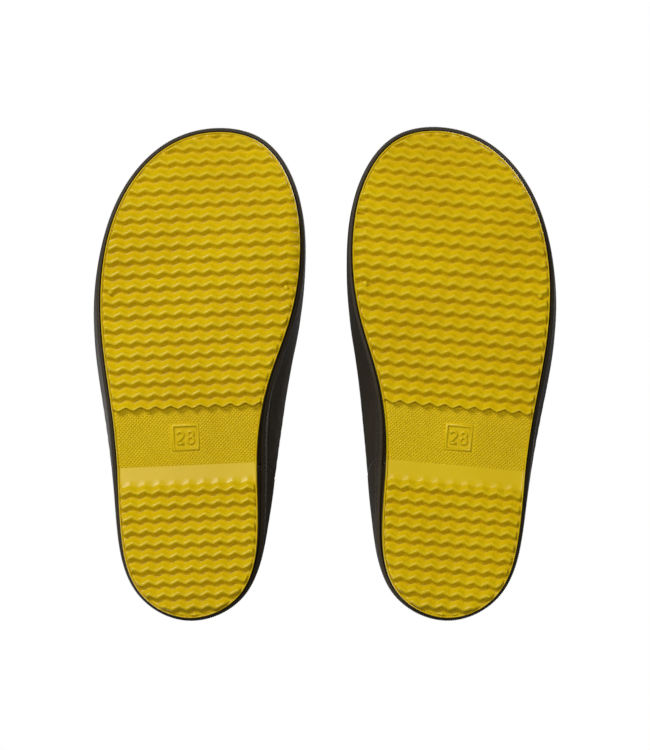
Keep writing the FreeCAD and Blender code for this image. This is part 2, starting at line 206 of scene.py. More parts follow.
@dataclass(frozen=True)
class SoleForm:
    """The sole's outline and side profile, in millimetres."""
    length: float = 198.0
    width: float = 80.1
    heel_height: float = 14.0
    forefoot_thickness: float = 7.0
    toe_spring: float = 7.0
    spring_start: float = 145.0
    heel_bevel: float = 1.5
    bevel_length: float = 10.0
    breast: float = 56.0
    waist_start: float = 62.0
    waist_clearance: float = 3.2
    waist_drop: float = 1.4
    ramp_end: float = 104.0
    rib_height: float = 2.4
    outer_side: tuple = ((-0.5, 0), (19, 9.5), (27.7, 34), (30.1, 58), (33.2, 82), (37.5, 106),
                         (39.7, 130), (37.4, 154), (27.6, 178), (13.8, 192))
    inner_side: tuple = ((-5, 198), (-22, 194.6), (-35.3, 178), (-40.4, 154), (-37.2, 122),
                         (-30, 98), (-26.2, 70), (-27.7, 38), (-21.3, 10))
    half_ring: int = 512
    _table: dict = field(default_factory=dict, repr=False, compare=False)

    def ring(self) -> Array:
        """Closely spaced outline points: heel tip, outer side, toe tip, inner side, heel tip."""
        if "ring" not in self._table:
            points = np.array(self.outer_side + self.inner_side, float)
            curve, marks = closed_curve(points, 40)
            toe = marks[len(self.outer_side)]
            halves = [by_length(curve[:toe + 1], self.half_ring),
                      by_length(curve[toe:], self.half_ring)]
            self._table["ring"] = np.vstack(halves + [halves[0][:1]])
        return self._table["ring"]

    def outline(self, s: Array, inset: float | Array = 0.0) -> tuple[Array, Array]:
        """Points of the outline.

        Args:
            s: places round the outline, 0 at the heel tip and 0.5 at the toe tip.
            inset: how far inside the outline.

        Returns:
            The x and y of each point.
        """
        ring = self.ring()
        places = np.linspace(0, 1, len(ring))
        x, y = (np.interp(s % 1.0, places, ring[:, k]) for k in range(2))
        if not np.any(inset):
            return x, y
        reach = 1.0 / 256
        step_x, step_y = (np.interp((s + reach) % 1, places, ring[:, k])
                          - np.interp((s - reach) % 1, places, ring[:, k]) for k in range(2))
        size = np.hypot(step_x, step_y)
        return x - inset * step_y / size, y + inset * step_x / size

    def edge_distance(self, x: Array, y: Array) -> tuple[Array, Array]:
        """How far points lie inside the outline, and the nearest place round it.

        Args:
            x: across the boot.
            y: along the boot.

        Returns:
            The distance, negative outside, and the place s.
        """
        ring = self.ring()[:-1]
        count = len(ring)
        flat = np.stack([x.ravel(), y.ravel()], 1)
        distance = np.empty(len(flat))
        place = np.empty(len(flat))
        along = np.roll(ring, -1, 0) - ring
        squares = (along ** 2).sum(1)
        for start in range(0, len(flat), 4000):
            part = flat[start:start + 4000]
            near = ((part[:, None, :] - ring[None, :, :]) ** 2).sum(2).argmin(1)
            best = np.full(len(part), np.inf)
            for shift in (-1, 0):
                k = (near + shift) % count
                share = np.clip(((part - ring[k]) * along[k]).sum(1) / squares[k], 0, 1)
                foot = ring[k] + share[:, None] * along[k]
                gap = part - foot
                side = along[k][:, 0] * gap[:, 1] - along[k][:, 1] * gap[:, 0]
                size = np.hypot(gap[:, 0], gap[:, 1])
                better = size < np.abs(best)
                best = np.where(better, np.where(side >= 0, size, -size), best)
                place[start:start + 4000] = np.where(better, (k + share) / count,
                                                     place[start:start + 4000])
            distance[start:start + 4000] = best
        return distance.reshape(x.shape), place.reshape(x.shape)

    def toe_rise(self, y: Array) -> Array:
        """How far the sole has lifted off the ground towards the toe."""
        share = np.clip((y - self.spring_start) / (self.length - self.spring_start), 0, 9)
        return self.toe_spring * share ** 2

    def top(self, y: Array) -> Array:
        """Height of the sole's upper face."""
        share = ease((self.ramp_end - y) / (self.ramp_end - self.breast))
        step = self.heel_height - self.forefoot_thickness
        return self.forefoot_thickness + step * share + self.toe_rise(y)

    def tread(self, y: Array) -> Array:
        """Height of the ribs' lowest faces."""
        return self.heel_bevel * np.clip(1 - y / self.bevel_length, 0, 9) ** 2 + self.toe_rise(y)


@dataclass(frozen=True)
class UpperForm:
    """The upper's outer face: tilted level curves that turn from the sole's outline to an ellipse.

    Each level holds back y and z, front y and z, half width, roundness and its share of the flare
    over the waist, in millimetres. Each fold holds its place up the boot, its lean, its half length
    round the boot and its share of the depth.
    """
    sole: SoleForm
    height: float = 205.0
    collar_length: float = 104.0
    collar_width: float = 59.0
    collar_y: float = 52.0
    foot_levels: tuple = ((-0.4, 1, 198.4, 1, 40.4, 0.0, 0.11), (-0.4, 10, 198.4, 12, 40.4, 0.0, 0.16),
                          (0, 21, 198.4, 22, 40.5, 0.0, 0.74), (0, 35, 195, 34, 39.9, 0.1, 1.0),
                          (0.5, 50, 186, 43, 37.4, 0.25, 0.95), (2, 65, 169, 50, 34.2, 0.45, 0.75),
                          (4, 80, 149, 58, 31.6, 0.66, 0.45), (5, 95, 130, 70, 29.8, 0.86, 0.2),
                          (5, 110, 115, 88, 29.2, 1.0, 0.0))
    ankle: tuple = (4.0, 130.0, 105.0, 113.0, 29.2)
    outer_flare: tuple = (3.0, 100.0, 75.0)
    inner_flare: tuple = (7.2, 76.0, 46.0)
    leg_shares: tuple = (0.0, 0.35, 0.7, 1.0)
    over_top: float = 12.0
    crease_depth: float = 0.9
    front_folds: tuple = ((0.455, 0.10, 0.16, 1.0), (0.505, 0.06, 0.13, 0.75), (0.41, 0.16, 0.12, 0.6))
    back_folds: tuple = ((0.47, -0.12, 0.12, 0.7), (0.53, -0.1, 0.10, 0.5))
    front_fold_width: float = 0.012
    back_fold_width: float = 0.014
    _table: dict = field(default_factory=dict, repr=False, compare=False)

    def levels(self) -> SmoothTable:
        """All level curves as one smooth table over t from 0 to 1."""
        if "levels" not in self._table:
            rows = [list(level) for level in self.foot_levels]
            back_y, back_z, front_y, front_z, half = self.ankle
            for share in self.leg_shares:
                rows.append([back_y + share * (self.collar_y - self.collar_length / 2 - back_y),
                             back_z + share * (self.height - back_z),
                             front_y + share * (self.collar_y + self.collar_length / 2 - front_y),
                             front_z + share * (self.height - front_z),
                             half + share * (self.collar_width / 2 - half), 1.0, 0.0])
            last = rows[-1]
            rows.append([last[0], last[1] + self.over_top, last[2], last[3] + self.over_top] + last[4:])
            table = np.array(rows)
            back_steps, front_steps = (np.hypot(*np.diff(table[:, k:k + 2], axis=0).T) for k in (0, 2))
            steps = (back_steps + front_steps) / 2
            places = np.concatenate([[0], np.cumsum(steps)])
            self._table["levels"] = SmoothTable(places / places[-1], rows)
        return self._table["levels"]

    def face(self, s: Array, t: Array) -> Array:
        """Points of the outer face.

        Args:
            s: places round the boot, 0 at the heel and 0.5 at the toe.
            t: how far up, from 0 under the sole to 1 above the collar.

        Returns:
            The points, with x, y and z on the last axis.
        """
        s, t = np.broadcast_arrays(s, t)
        back_y, back_z, front_y, front_z, half, round_share, flare = np.moveaxis(self.levels().at(t), -1, 0)
        edge_x, edge_y = self.sole.outline(s)
        turn = 2 * math.pi * s
        across = (1 - round_share) * edge_x / (self.sole.width / 2) + round_share * np.sin(turn)
        along = (1 - round_share) * edge_y / self.sole.length + round_share * (0.5 - 0.5 * np.cos(turn))
        return np.stack([across * half + flare * self.side_flare(np.sin(turn), edge_y),
                         back_y + along * (front_y - back_y),
                         back_z + along * (front_z - back_z)], -1)

    def side_flare(self, side: Array, y: Array) -> Array:
        """How far the upper bulges sideways over the sole's edge at its fullest level."""
        bulges = [size * side * np.exp(-((y - middle) / reach) ** 2)
                  for size, middle, reach in (self.outer_flare, self.inner_flare)]
        return np.where(side > 0, *bulges)

    def creases(self, s: Array, t: Array) -> Array:
        """Depth of the soft folds that wearing leaves round the ankle."""
        front = np.abs(((s - 0.5) + 0.5) % 1 - 0.5)
        back = np.abs((s + 0.5) % 1 - 0.5)
        folds = np.zeros(np.broadcast(s, t).shape)
        for centre, width, rows in ((front, self.front_fold_width, self.front_folds),
                                    (back, self.back_fold_width, self.back_folds)):
            for middle, lean, length, share in rows:
                folds += share * bump(t - middle - lean * centre, width) * bump(centre, length)
        sway = 0.25 * np.sin(2 * math.pi * (2 * s + 0.1)) * bump(t - 0.62, 0.2)
        return self.crease_depth * (folds + np.abs(sway) * 0.5)

    def at(self, s: Array, t: Array, offset: float | Array = 0.0) -> Array:
        """Points at a distance outside the outer face, folds included."""
        s, t = np.broadcast_arrays(s, t)
        reach_s, reach_t = 1.0 / 300, 0.004
        around = self.face(s + reach_s, t) - self.face(s - reach_s, t)
        upward = self.face(s, np.minimum(t + reach_t, 1)) - self.face(s, np.maximum(t - reach_t, 0))
        outward = unit(np.cross(around, upward))
        reach = np.broadcast_to(offset, s.shape) - self.creases(s, t)
        return self.face(s, t) + outward * reach[..., None]

    def cross(self, s: Array, rule: Rule) -> Array:
        """Find how far up each place crosses a line of the side view.

        Args:
            s: places round the boot.
            rule: takes y and z, and is negative below the line and positive above it.

        Returns:
            The t of each crossing, 0 or 1 where there is none.
        """
        def passed(t: Array) -> Array:
            """Whether the face lies above the line."""
            point = self.face(s, t)
            return rule(point[..., 1], point[..., 2]) > 0

        return bisect(np.zeros_like(s), np.ones_like(s), passed)

    def above_sole(self, s: Array, lift: float) -> Array:
        """How far up each place lies at a height above the sole's upper face."""
        return self.cross(s, lambda y, z: z - self.sole.top(y) - lift)

    def at_height(self, s: Array, z_level: float) -> Array:
        """How far up each place reaches a height."""
        return self.cross(s, lambda y, z: z - z_level)


@dataclass(frozen=True)
class BootPlace:
    """Where one boot stands in the pair."""
    side: Side
    origin: tuple
    turn: float

    @classmethod
    def from_frame(cls, side: Side, collar_y: float) -> "BootPlace":
        """Read a boot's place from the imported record's opening mount and footbed hinge."""
        record = frame["record"]
        joints = {joint["name"]: joint for joint in record["behaviour"]["joints"]}
        mounts = {mount["name"]: mount for mount in record["mounts"]}
        axis = joints[side.word + "_footbed_lift"]["axis"]
        turn = math.atan2(-axis[1], -axis[0])
        x, y, _ = mounts["foot_opening_" + side.word]["pos_m"]
        reach = collar_y * MM
        return cls(side, (x + reach * math.sin(turn), y - reach * math.cos(turn)), turn)

    def to_row(self, points: Array) -> Array:
        """Turn millimetres in the boot's frame into metres in the shared frame."""
        x = points[..., 0] * MM * self.side.value
        y = points[..., 1] * MM
        cos, sin = math.cos(self.turn), math.sin(self.turn)
        return np.stack([x * cos - y * sin + self.origin[0], x * sin + y * cos + self.origin[1],
                         points[..., 2] * MM], -1)

    @property
    def body(self) -> str:
        """The CAD body that the boot's bonded pieces ride on."""
        return self.side.word + "_boot"

    @property
    def footbed_body(self) -> str:
        """The CAD body of the loose footbed."""
        return self.side.word + "_footbed"


# ---------------------------------------------------------------- meshes

@dataclass
class Patch:
    """A mesh in the making: points in a boot's frame, faces and values on its points."""
    points: Array
    faces: list
    values: dict = field(default_factory=dict)

    def joined(self, other: "Patch") -> "Patch":
        """This patch and another as one; values are kept where both have them."""
        shift = len(self.points)
        moved = [tuple(k + shift for k in face) for face in other.faces]
        values = {key: np.concatenate([self.values[key], other.values[key]])
                  for key in self.values if key in other.values}
        return Patch(np.vstack([self.points, other.points]), self.faces + moved, values)


def grid_faces(rows: int, columns: int, closed: bool, start: int = 0, flipped: bool = False) -> list:
    """Four-sided faces of a grid of points.

    Args:
        rows: how many rows of points there are.
        columns: how many points a row has.
        closed: whether each row runs back to its first point.
        start: the index of the first point.
        flipped: whether the faces point the other way.

    Returns:
        The faces as tuples of point indices.
    """
    last = columns if closed else columns - 1
    faces = []
    for i in range(rows - 1):
        low, high = start + i * columns, start + (i + 1) * columns
        for j in range(last):
            k = (j + 1) % columns
            face = (low + j, low + k, high + k, high + j)
            faces.append(face[::-1] if flipped else face)
    return faces


def tube(rings: Array, caps: bool, closed_path: bool = False) -> Patch:
    """A tube through rings of points, each ring closed.

    Args:
        rings: points by ring and place in the ring.
        caps: whether to close both ends with a face.
        closed_path: whether the last ring joins the first.

    Returns:
        The tube.
    """
    count, around = rings.shape[:2]
    faces = grid_faces(count, around, closed=True)
    if closed_path:
        last = (count - 1) * around
        faces += [(last + j, last + (j + 1) % around, (j + 1) % around, j) for j in range(around)]
    if caps:
        faces.append(tuple(range(around))[::-1])
        faces.append(tuple(range((count - 1) * around, count * around)))
    return Patch(rings.reshape(-1, 3), faces)


def make_object(name: str, patch: Patch, place: BootPlace, materials: Sequence[bpy.types.Material],
                weld: float = 0.0) -> bpy.types.Object:
    """Make a mesh object from a patch, in the shared frame.

    Args:
        name: the piece's name, to which the boot's side is added.
        patch: the mesh in the boot's frame.
        place: where the boot stands.
        materials: the piece's materials.
        weld: points closer than this many millimetres become one.

    Returns:
        The object, riding on nothing yet.
    """
    full_name = name + "_" + place.side.word
    mesh = bpy.data.meshes.new(full_name)
    flip = place.side is Side.LEFT
    faces = [face[::-1] for face in patch.faces] if flip else patch.faces
    mesh.from_pydata(place.to_row(patch.points).tolist(), [], faces)
    for key, values in patch.values.items():
        kind = "FLOAT_VECTOR" if values.ndim == 2 else "FLOAT"
        attribute = mesh.attributes.new(key, kind, "POINT")
        slot = "vector" if kind == "FLOAT_VECTOR" else "value"
        attribute.data.foreach_set(slot, values.astype(np.float32).ravel())
    for material in materials:
        mesh.materials.append(material)
    if weld:
        build = bmesh.new()
        build.from_mesh(mesh)
        bmesh.ops.remove_doubles(build, verts=build.verts, dist=weld * MM)
        bmesh.ops.dissolve_degenerate(build, edges=build.edges, dist=weld * MM * 0.5)
        build.to_mesh(mesh)
        build.free()
    mesh.shade_smooth()
    mesh.update()
    piece = bpy.data.objects.new(full_name, mesh)
    bpy.context.scene.collection.objects.link(piece)
    return piece


def finish_piece(piece: bpy.types.Object, body: str, nodes: Sequence[str] = ()) -> None:
    """Let a piece ride on its body, and hide the CAD nodes that it stands for."""
    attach(piece, body)
    if nodes:
        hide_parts(*nodes)
    log.info("%s: %d points, %d faces, on %s", piece.name, len(piece.data.vertices),
             len(piece.data.polygons), body)


# ---------------------------------------------------------------- node trees

class Nodes:
    """Short ways to write a node tree."""

    def __init__(self, tree: bpy.types.NodeTree) -> None:
        """Work on a tree."""
        self.tree = tree

    def add(self, kind: str, inputs: Optional[dict] = None, **settings) -> bpy.types.Node:
        """Add a node.

        Args:
            kind: the node's type name.
            inputs: values or sockets by input name or number.
            settings: the node's own properties.

        Returns:
            The node.
        """
        node = self.tree.nodes.new(kind)
        for key, value in settings.items():
            setattr(node, key, value)
        for key, value in (inputs or {}).items():
            if isinstance(value, bpy.types.NodeSocket):
                self.tree.links.new(value, node.inputs[key])
            else:
                node.inputs[key].default_value = value
        return node

    def math(self, operation: str, *values) -> bpy.types.NodeSocket:
        """The result of a sum on numbers or sockets."""
        node = self.add("ShaderNodeMath", dict(enumerate(values)), operation=operation)
        return node.outputs[0]

    def blend(self, share, low, high) -> bpy.types.NodeSocket:
        """A colour between two, by a share."""
        node = self.add("ShaderNodeMix", {0: share, 6: low, 7: high}, data_type="RGBA")
        return node.outputs[2]

    def remap(self, value, low, high, new_low: float = 0.0, new_high: float = 1.0) -> bpy.types.NodeSocket:
        """A value carried softly from one range into another and kept within it."""
        return self.add("ShaderNodeMapRange", {0: value, 1: low, 2: high, 3: new_low, 4: new_high},
                        interpolation_type="SMOOTHSTEP").outputs[0]

    def noise(self, place, scale, detail: float = 3.0, roughness: float = 0.55) -> bpy.types.NodeSocket:
        """Cloudy noise from 0 to 1."""
        return self.add("ShaderNodeTexNoise", {"Vector": place, "Scale": scale, "Detail": detail,
                                               "Roughness": roughness}).outputs[0]


def new_group(name: str, kind: str, inputs: Sequence[tuple], outputs: Sequence[tuple]) -> bpy.types.NodeTree:
    """Make a node group with named sockets.

    Args:
        name: the group's name.
        kind: the tree's type name.
        inputs: name, socket type and default value, or None, of each input.
        outputs: name and socket type of each output.

    Returns:
        The group.
    """
    tree = bpy.data.node_groups.new(name, kind)
    for label, socket_type, value in inputs:
        socket = tree.interface.new_socket(label, in_out="INPUT", socket_type=socket_type)
        if value is not None:
            socket.default_value = value
    for label, socket_type in outputs:
        tree.interface.new_socket(label, in_out="OUTPUT", socket_type=socket_type)
    return tree


FLOAT = "NodeSocketFloat"
VECTOR = "NodeSocketVector"
GEOMETRY = "NodeSocketGeometry"
MATERIAL = "NodeSocketMaterial"
SHADER_TREE = "ShaderNodeTree"
GEOMETRY_TREE = "GeometryNodeTree"


class Library:
    """Node groups that are built on first use and shared from then on."""

    _made: dict = {}

    @classmethod
    def get(cls, name: str) -> bpy.types.NodeTree:
        """The group that the class's method of that name builds."""
        if (cls, name) not in Library._made:
            Library._made[cls, name] = getattr(cls, "_" + name)()
        return Library._made[cls, name]


class Effects(Library):
    """Shader groups that several finishes share."""

    @staticmethod
    def _grain() -> bpy.types.NodeTree:
        """Fine moulded grain with broad unevenness: a height and a roughness change."""
        tree = new_group("MouldedGrain", SHADER_TREE, [("Place", VECTOR, None), ("Scale", FLOAT, 1800.0),
                                                       ("Unevenness", FLOAT, 0.5)],
                         [("Height", FLOAT), ("Rough", FLOAT)])
        nodes = Nodes(tree)
        start = nodes.add("NodeGroupInput")
        fine = nodes.noise(start.outputs["Place"], start.outputs["Scale"], 4.0, 0.6)
        broad = nodes.noise(start.outputs["Place"], 45.0, 2.0)
        swell = nodes.math("MULTIPLY", broad, start.outputs["Unevenness"])
        height = nodes.math("ADD", fine, swell)
        rough = nodes.remap(nodes.math("ADD", nodes.math("MULTIPLY", fine, 0.4), broad), 0.3, 1.1, -0.5, 0.5)
        nodes.add("NodeGroupOutput", {"Height": height, "Rough": rough})
        return tree

    @staticmethod
    def _pointed(name: str, first: float, full: float, patches: Sequence[float]) -> bpy.types.NodeTree:
        """A mask of edges or hollows, broken into patches.

        Args:
            name: the group's name.
            first: the pointiness at which the mask starts.
            full: the pointiness at which it is full.
            patches: the noise's scale, detail, lower and upper bound, and the mask's least share.

        Returns:
            The group.
        """
        tree = new_group(name, SHADER_TREE, [("Place", VECTOR, None), ("Start", FLOAT, first),
                                             ("Full", FLOAT, full)], [("Mask", FLOAT)])
        nodes = Nodes(tree)
        start = nodes.add("NodeGroupInput")
        point = nodes.add("ShaderNodeNewGeometry").outputs["Pointiness"]
        found = nodes.remap(point, start.outputs["Start"], start.outputs["Full"])
        scale, detail, low, high, least = patches
        patchy = nodes.remap(nodes.noise(start.outputs["Place"], scale, detail), low, high, least, 1.0)
        nodes.add("NodeGroupOutput", {"Mask": nodes.math("MULTIPLY", found, patchy)})
        return tree

    @classmethod
    def _wear(cls) -> bpy.types.NodeTree:
        """A mask of rubbed edges and raised spots, also used to paint highlights on edges."""
        return cls._pointed("EdgeWear", 0.52, 0.6, (160.0, 4.0, 0.35, 0.7, 0.35))

    @classmethod
    def _hollow(cls) -> bpy.types.NodeTree:
        """A mask of grooves and corners, where dusty tints and painted shade go."""
        return cls._pointed("HollowDust", 0.49, 0.42, (90.0, 3.0, 0.3, 0.7, 0.5))

    @staticmethod
    def _weave() -> bpy.types.NodeTree:
        """Crossing threads on a surface map in metres: a height and a thread mask."""
        tree = new_group("ThreadWeave", SHADER_TREE,
                         [("Map", VECTOR, None), ("Across", FLOAT, 900.0), ("Along", FLOAT, 700.0)],
                         [("Height", FLOAT), ("Thread", FLOAT)])
        nodes = Nodes(tree)
        start = nodes.add("NodeGroupInput")
        split = nodes.add("ShaderNodeSeparateXYZ", {0: start.outputs["Map"]})
        threads, cells = [], []
        for part, count in enumerate(("Across", "Along")):
            place = nodes.math("MULTIPLY", split.outputs[part], start.outputs[count])
            wave = nodes.math("SINE", nodes.math("MULTIPLY", place, math.pi))
            threads.append(nodes.math("ABSOLUTE", wave))
            cells.append(nodes.math("FLOOR", place))
        order = nodes.math("ABSOLUTE", nodes.math("MODULO", nodes.math("ADD", *cells), 2.0))
        over = nodes.math("MULTIPLY", threads[0], nodes.math("GREATER_THAN", order, 0.5))
        under = nodes.math("MULTIPLY", threads[1], nodes.math("LESS_THAN", order, 0.5))
        height = nodes.math("ADD", over, under)
        nodes.add("NodeGroupOutput", {"Height": height, "Thread": nodes.remap(height, 0.1, 0.7)})
        return tree


def group_node(nodes: Nodes, effect: str, inputs: dict) -> bpy.types.Node:
    """Place a shared effect in a material."""
    return nodes.add("ShaderNodeGroup", inputs, node_tree=Effects.get(effect))


def srgb(red: float, green: float, blue: float) -> tuple:
    """A colour seen as these screen values from 0 to 255, as the shader's linear colour."""
    linear = [((c / 255 + 0.055) / 1.055) ** 2.4 if c > 10 else c / 255 / 12.92 for c in (red, green, blue)]
    return (*linear, 1.0)


@dataclass(frozen=True)
class Finish:
    """What every finish has: its name, colours and roughness."""
    name: str
    colour: tuple
    shade: tuple
    roughness: float

    def begin(self) -> tuple[Nodes, bpy.types.Node, bpy.types.NodeSocket]:
        """Start the material.

        Returns:
            The tree's writer, the main shader and the object's own coordinates.
        """
        material = bpy.data.materials.new(self.name)
        material.use_nodes = True
        nodes = Nodes(material.node_tree)
        shader = material.node_tree.nodes["Principled BSDF"]
        place = nodes.add("ShaderNodeTexCoord").outputs["Object"]
        return nodes, shader, place

    def material(self) -> bpy.types.Material:
        """The finished material, built once."""
        found = bpy.data.materials.get(self.name)
        return found if found else self.build()

    def build(self) -> bpy.types.Material:
        """Build the material."""
        raise NotImplementedError

    def roughen(self, nodes: Nodes, shader: bpy.types.Node, change, reach: float) -> None:
        """Vary the roughness round its own value."""
        total = nodes.math("ADD", nodes.math("MULTIPLY", change, reach), self.roughness)
        nodes.tree.links.new(total, shader.inputs["Roughness"])

    def raise_bumps(self, nodes: Nodes, shader: bpy.types.Node, height, depth: float) -> None:
        """Give the surface fine relief, its depth in millimetres."""
        relief = nodes.add("ShaderNodeBump", {"Height": height, "Distance": depth * MM, "Strength": 1.0})
        nodes.tree.links.new(relief.outputs[0], shader.inputs["Normal"])


@dataclass(frozen=True)
class RubberFinish(Finish):
    """Moulded or calendered rubber: grain, rubbed edges and dusty hollows, with painted highlights on edges
    and painted shade in grooves where a finish asks for them.
    """
    worn_and_highlight: tuple = (0.5, 0.5, 0.5, 1.0)
    dust_and_shade: tuple = (0.3, 0.28, 0.24, 1.0)
    wear_and_highlight_share: float = 0.5
    dust_and_shade_share: float = 0.4
    grain_depth: float = 0.02
    grain_scale: float = 1800.0
    sheen: float = 0.0
    specular: float = 0.5

    def build(self) -> bpy.types.Material:
        """Build the rubber."""
        nodes, shader, place = self.begin()
        grain = group_node(nodes, "grain", {"Place": place, "Scale": self.grain_scale})
        wear = group_node(nodes, "wear", {"Place": place})
        hollow = group_node(nodes, "hollow", {"Place": place})
        tone = nodes.remap(nodes.noise(place, 28.0, 4.0), 0.3, 0.7)
        colour = nodes.blend(tone, self.colour, self.shade)
        # Grooves and corners take the second colour: a dusty tint on the upper, painted shade on the sole and
        # the rand.
        colour = nodes.blend(nodes.math("MULTIPLY", hollow.outputs[0], self.dust_and_shade_share), colour, self.dust_and_shade)
        # Edges take the rubbed colour: rubbing on the upper, a painted highlight on the sole's ribs and
        # partly on the rand's knurl.
        colour = nodes.blend(nodes.math("MULTIPLY", wear.outputs[0], self.wear_and_highlight_share), colour, self.worn_and_highlight)
        nodes.tree.links.new(colour, shader.inputs["Base Color"])
        self.roughen(nodes, shader, grain.outputs["Rough"], 0.14)
        self.raise_bumps(nodes, shader, grain.outputs["Height"], self.grain_depth)
        shader.inputs["Specular IOR Level"].default_value = self.specular
        shader.inputs["Sheen Weight"].default_value = self.sheen
        return bpy.data.materials[self.name]


@dataclass(frozen=True)
class ClothFinish(Finish):
    """Woven or knitted textile on a surface map."""
    across: float = 900.0
    along: float = 700.0
    thread_depth: float = 0.15
    fuzz: float = 0.3

    def build(self) -> bpy.types.Material:
        """Build the cloth."""
        nodes, shader, place = self.begin()
        surface = nodes.add("ShaderNodeAttribute", attribute_name="surface_map").outputs["Vector"]
        weave = group_node(nodes, "weave", {"Map": surface, "Across": self.across, "Along": self.along})
        fibre = nodes.noise(place, 2600.0, 5.0, 0.7)
        tone = nodes.remap(nodes.noise(place, 60.0, 4.0), 0.25, 0.75)
        yarn = nodes.math("MULTIPLY", nodes.math("ADD", weave.outputs["Thread"], tone), 0.5)
        colour = nodes.blend(yarn, self.shade, self.colour)
        nodes.tree.links.new(colour, shader.inputs["Base Color"])
        height = nodes.math("ADD", weave.outputs["Height"], nodes.math("MULTIPLY", fibre, self.fuzz))
        self.roughen(nodes, shader, nodes.math("SUBTRACT", fibre, 0.5), 0.2)
        self.raise_bumps(nodes, shader, height, self.thread_depth)
        shader.inputs["Sheen Weight"].default_value = 0.25
        shader.inputs["Sheen Roughness"].default_value = 0.5
        shader.inputs["Specular IOR Level"].default_value = 0.25
        return bpy.data.materials[self.name]


@dataclass(frozen=True)
class CellFinish(Finish):
    """Foam, cork or fibre board: small cells or flecks."""
    cell_scale: float = 700.0
    cell_depth: float = 0.1

    def build(self) -> bpy.types.Material:
        """Build the cellular stuff."""
        nodes, shader, place = self.begin()
        pattern = nodes.add("ShaderNodeTexVoronoi", {"Vector": place, "Scale": self.cell_scale})
        cells = pattern.outputs["Distance"]
        tone = nodes.math("MULTIPLY", nodes.math("ADD", cells, nodes.noise(place, 120.0)), 0.6)
        colour = nodes.blend(tone, self.colour, self.shade)
        nodes.tree.links.new(colour, shader.inputs["Base Color"])
        self.roughen(nodes, shader, nodes.math("SUBTRACT", cells, 0.5), 0.15)
        self.raise_bumps(nodes, shader, cells, self.cell_depth)
        return bpy.data.materials[self.name]


# On the sole the light edge colour is a painted highlight on the rib edges and the dark orange groove colour
# is painted shade.
SOLE_YELLOW = RubberFinish("sole_yellow_rubber", srgb(222, 191, 2), srgb(215, 182, 1), 0.36,
                           worn_and_highlight=srgb(238, 214, 30), dust_and_shade=srgb(142, 96, 0), wear_and_highlight_share=0.4, dust_and_shade_share=0.95,
                           grain_depth=0.012, specular=0.42)
UPPER_DARK = RubberFinish("upper_dark_rubber", srgb(60, 51, 38), srgb(52, 44, 32), 0.58,
                          worn_and_highlight=srgb(84, 78, 68), dust_and_shade=srgb(70, 64, 54), wear_and_highlight_share=0.4, dust_and_shade_share=0.3,
                          grain_depth=0.06, grain_scale=1400.0)
# On the rand the dark groove colour is painted shade in the knurl's gaps and by the sole, and the light edge
# colour is partly rubbing and partly a painted highlight on the knurl tops.
RAND_DARK = RubberFinish("rand_dark_rubber", srgb(60, 52, 40), srgb(52, 45, 34), 0.66,
                         worn_and_highlight=srgb(92, 85, 75), dust_and_shade=srgb(30, 25, 19), wear_and_highlight_share=0.6, dust_and_shade_share=0.4,
                         grain_depth=0.03, grain_scale=2200.0)
KNIT_LINING = ClothFinish("knit_lining_cloth", srgb(186, 180, 166), srgb(142, 136, 124), 0.85,
                          across=620.0, along=460.0, thread_depth=0.25)
FOOTBED_CLOTH = ClothFinish("footbed_cloth", srgb(96, 98, 100), srgb(62, 64, 66), 0.9,
                            across=900.0, along=900.0, thread_depth=0.14)
WEBBING = ClothFinish("webbing_cloth", srgb(58, 54, 48), srgb(30, 28, 25), 0.8,
                      across=1000.0, along=1100.0, thread_depth=0.22)
STITCH = ClothFinish("stitch_thread", srgb(206, 190, 60), srgb(150, 136, 40), 0.7,
                     across=2500.0, along=2500.0, thread_depth=0.08)
FOAM = CellFinish("footbed_foam", srgb(210, 204, 190), srgb(178, 170, 154), 0.9)
FILLER = CellFinish("heel_filler_sponge", srgb(70, 66, 60), srgb(50, 47, 42), 0.9)
BOARD = CellFinish("insole_board_fibre", srgb(150, 122, 86), srgb(122, 98, 66), 0.85, cell_scale=1500.0,
                   cell_depth=0.05)


# ---------------------------------------------------------------- rules for what repeats

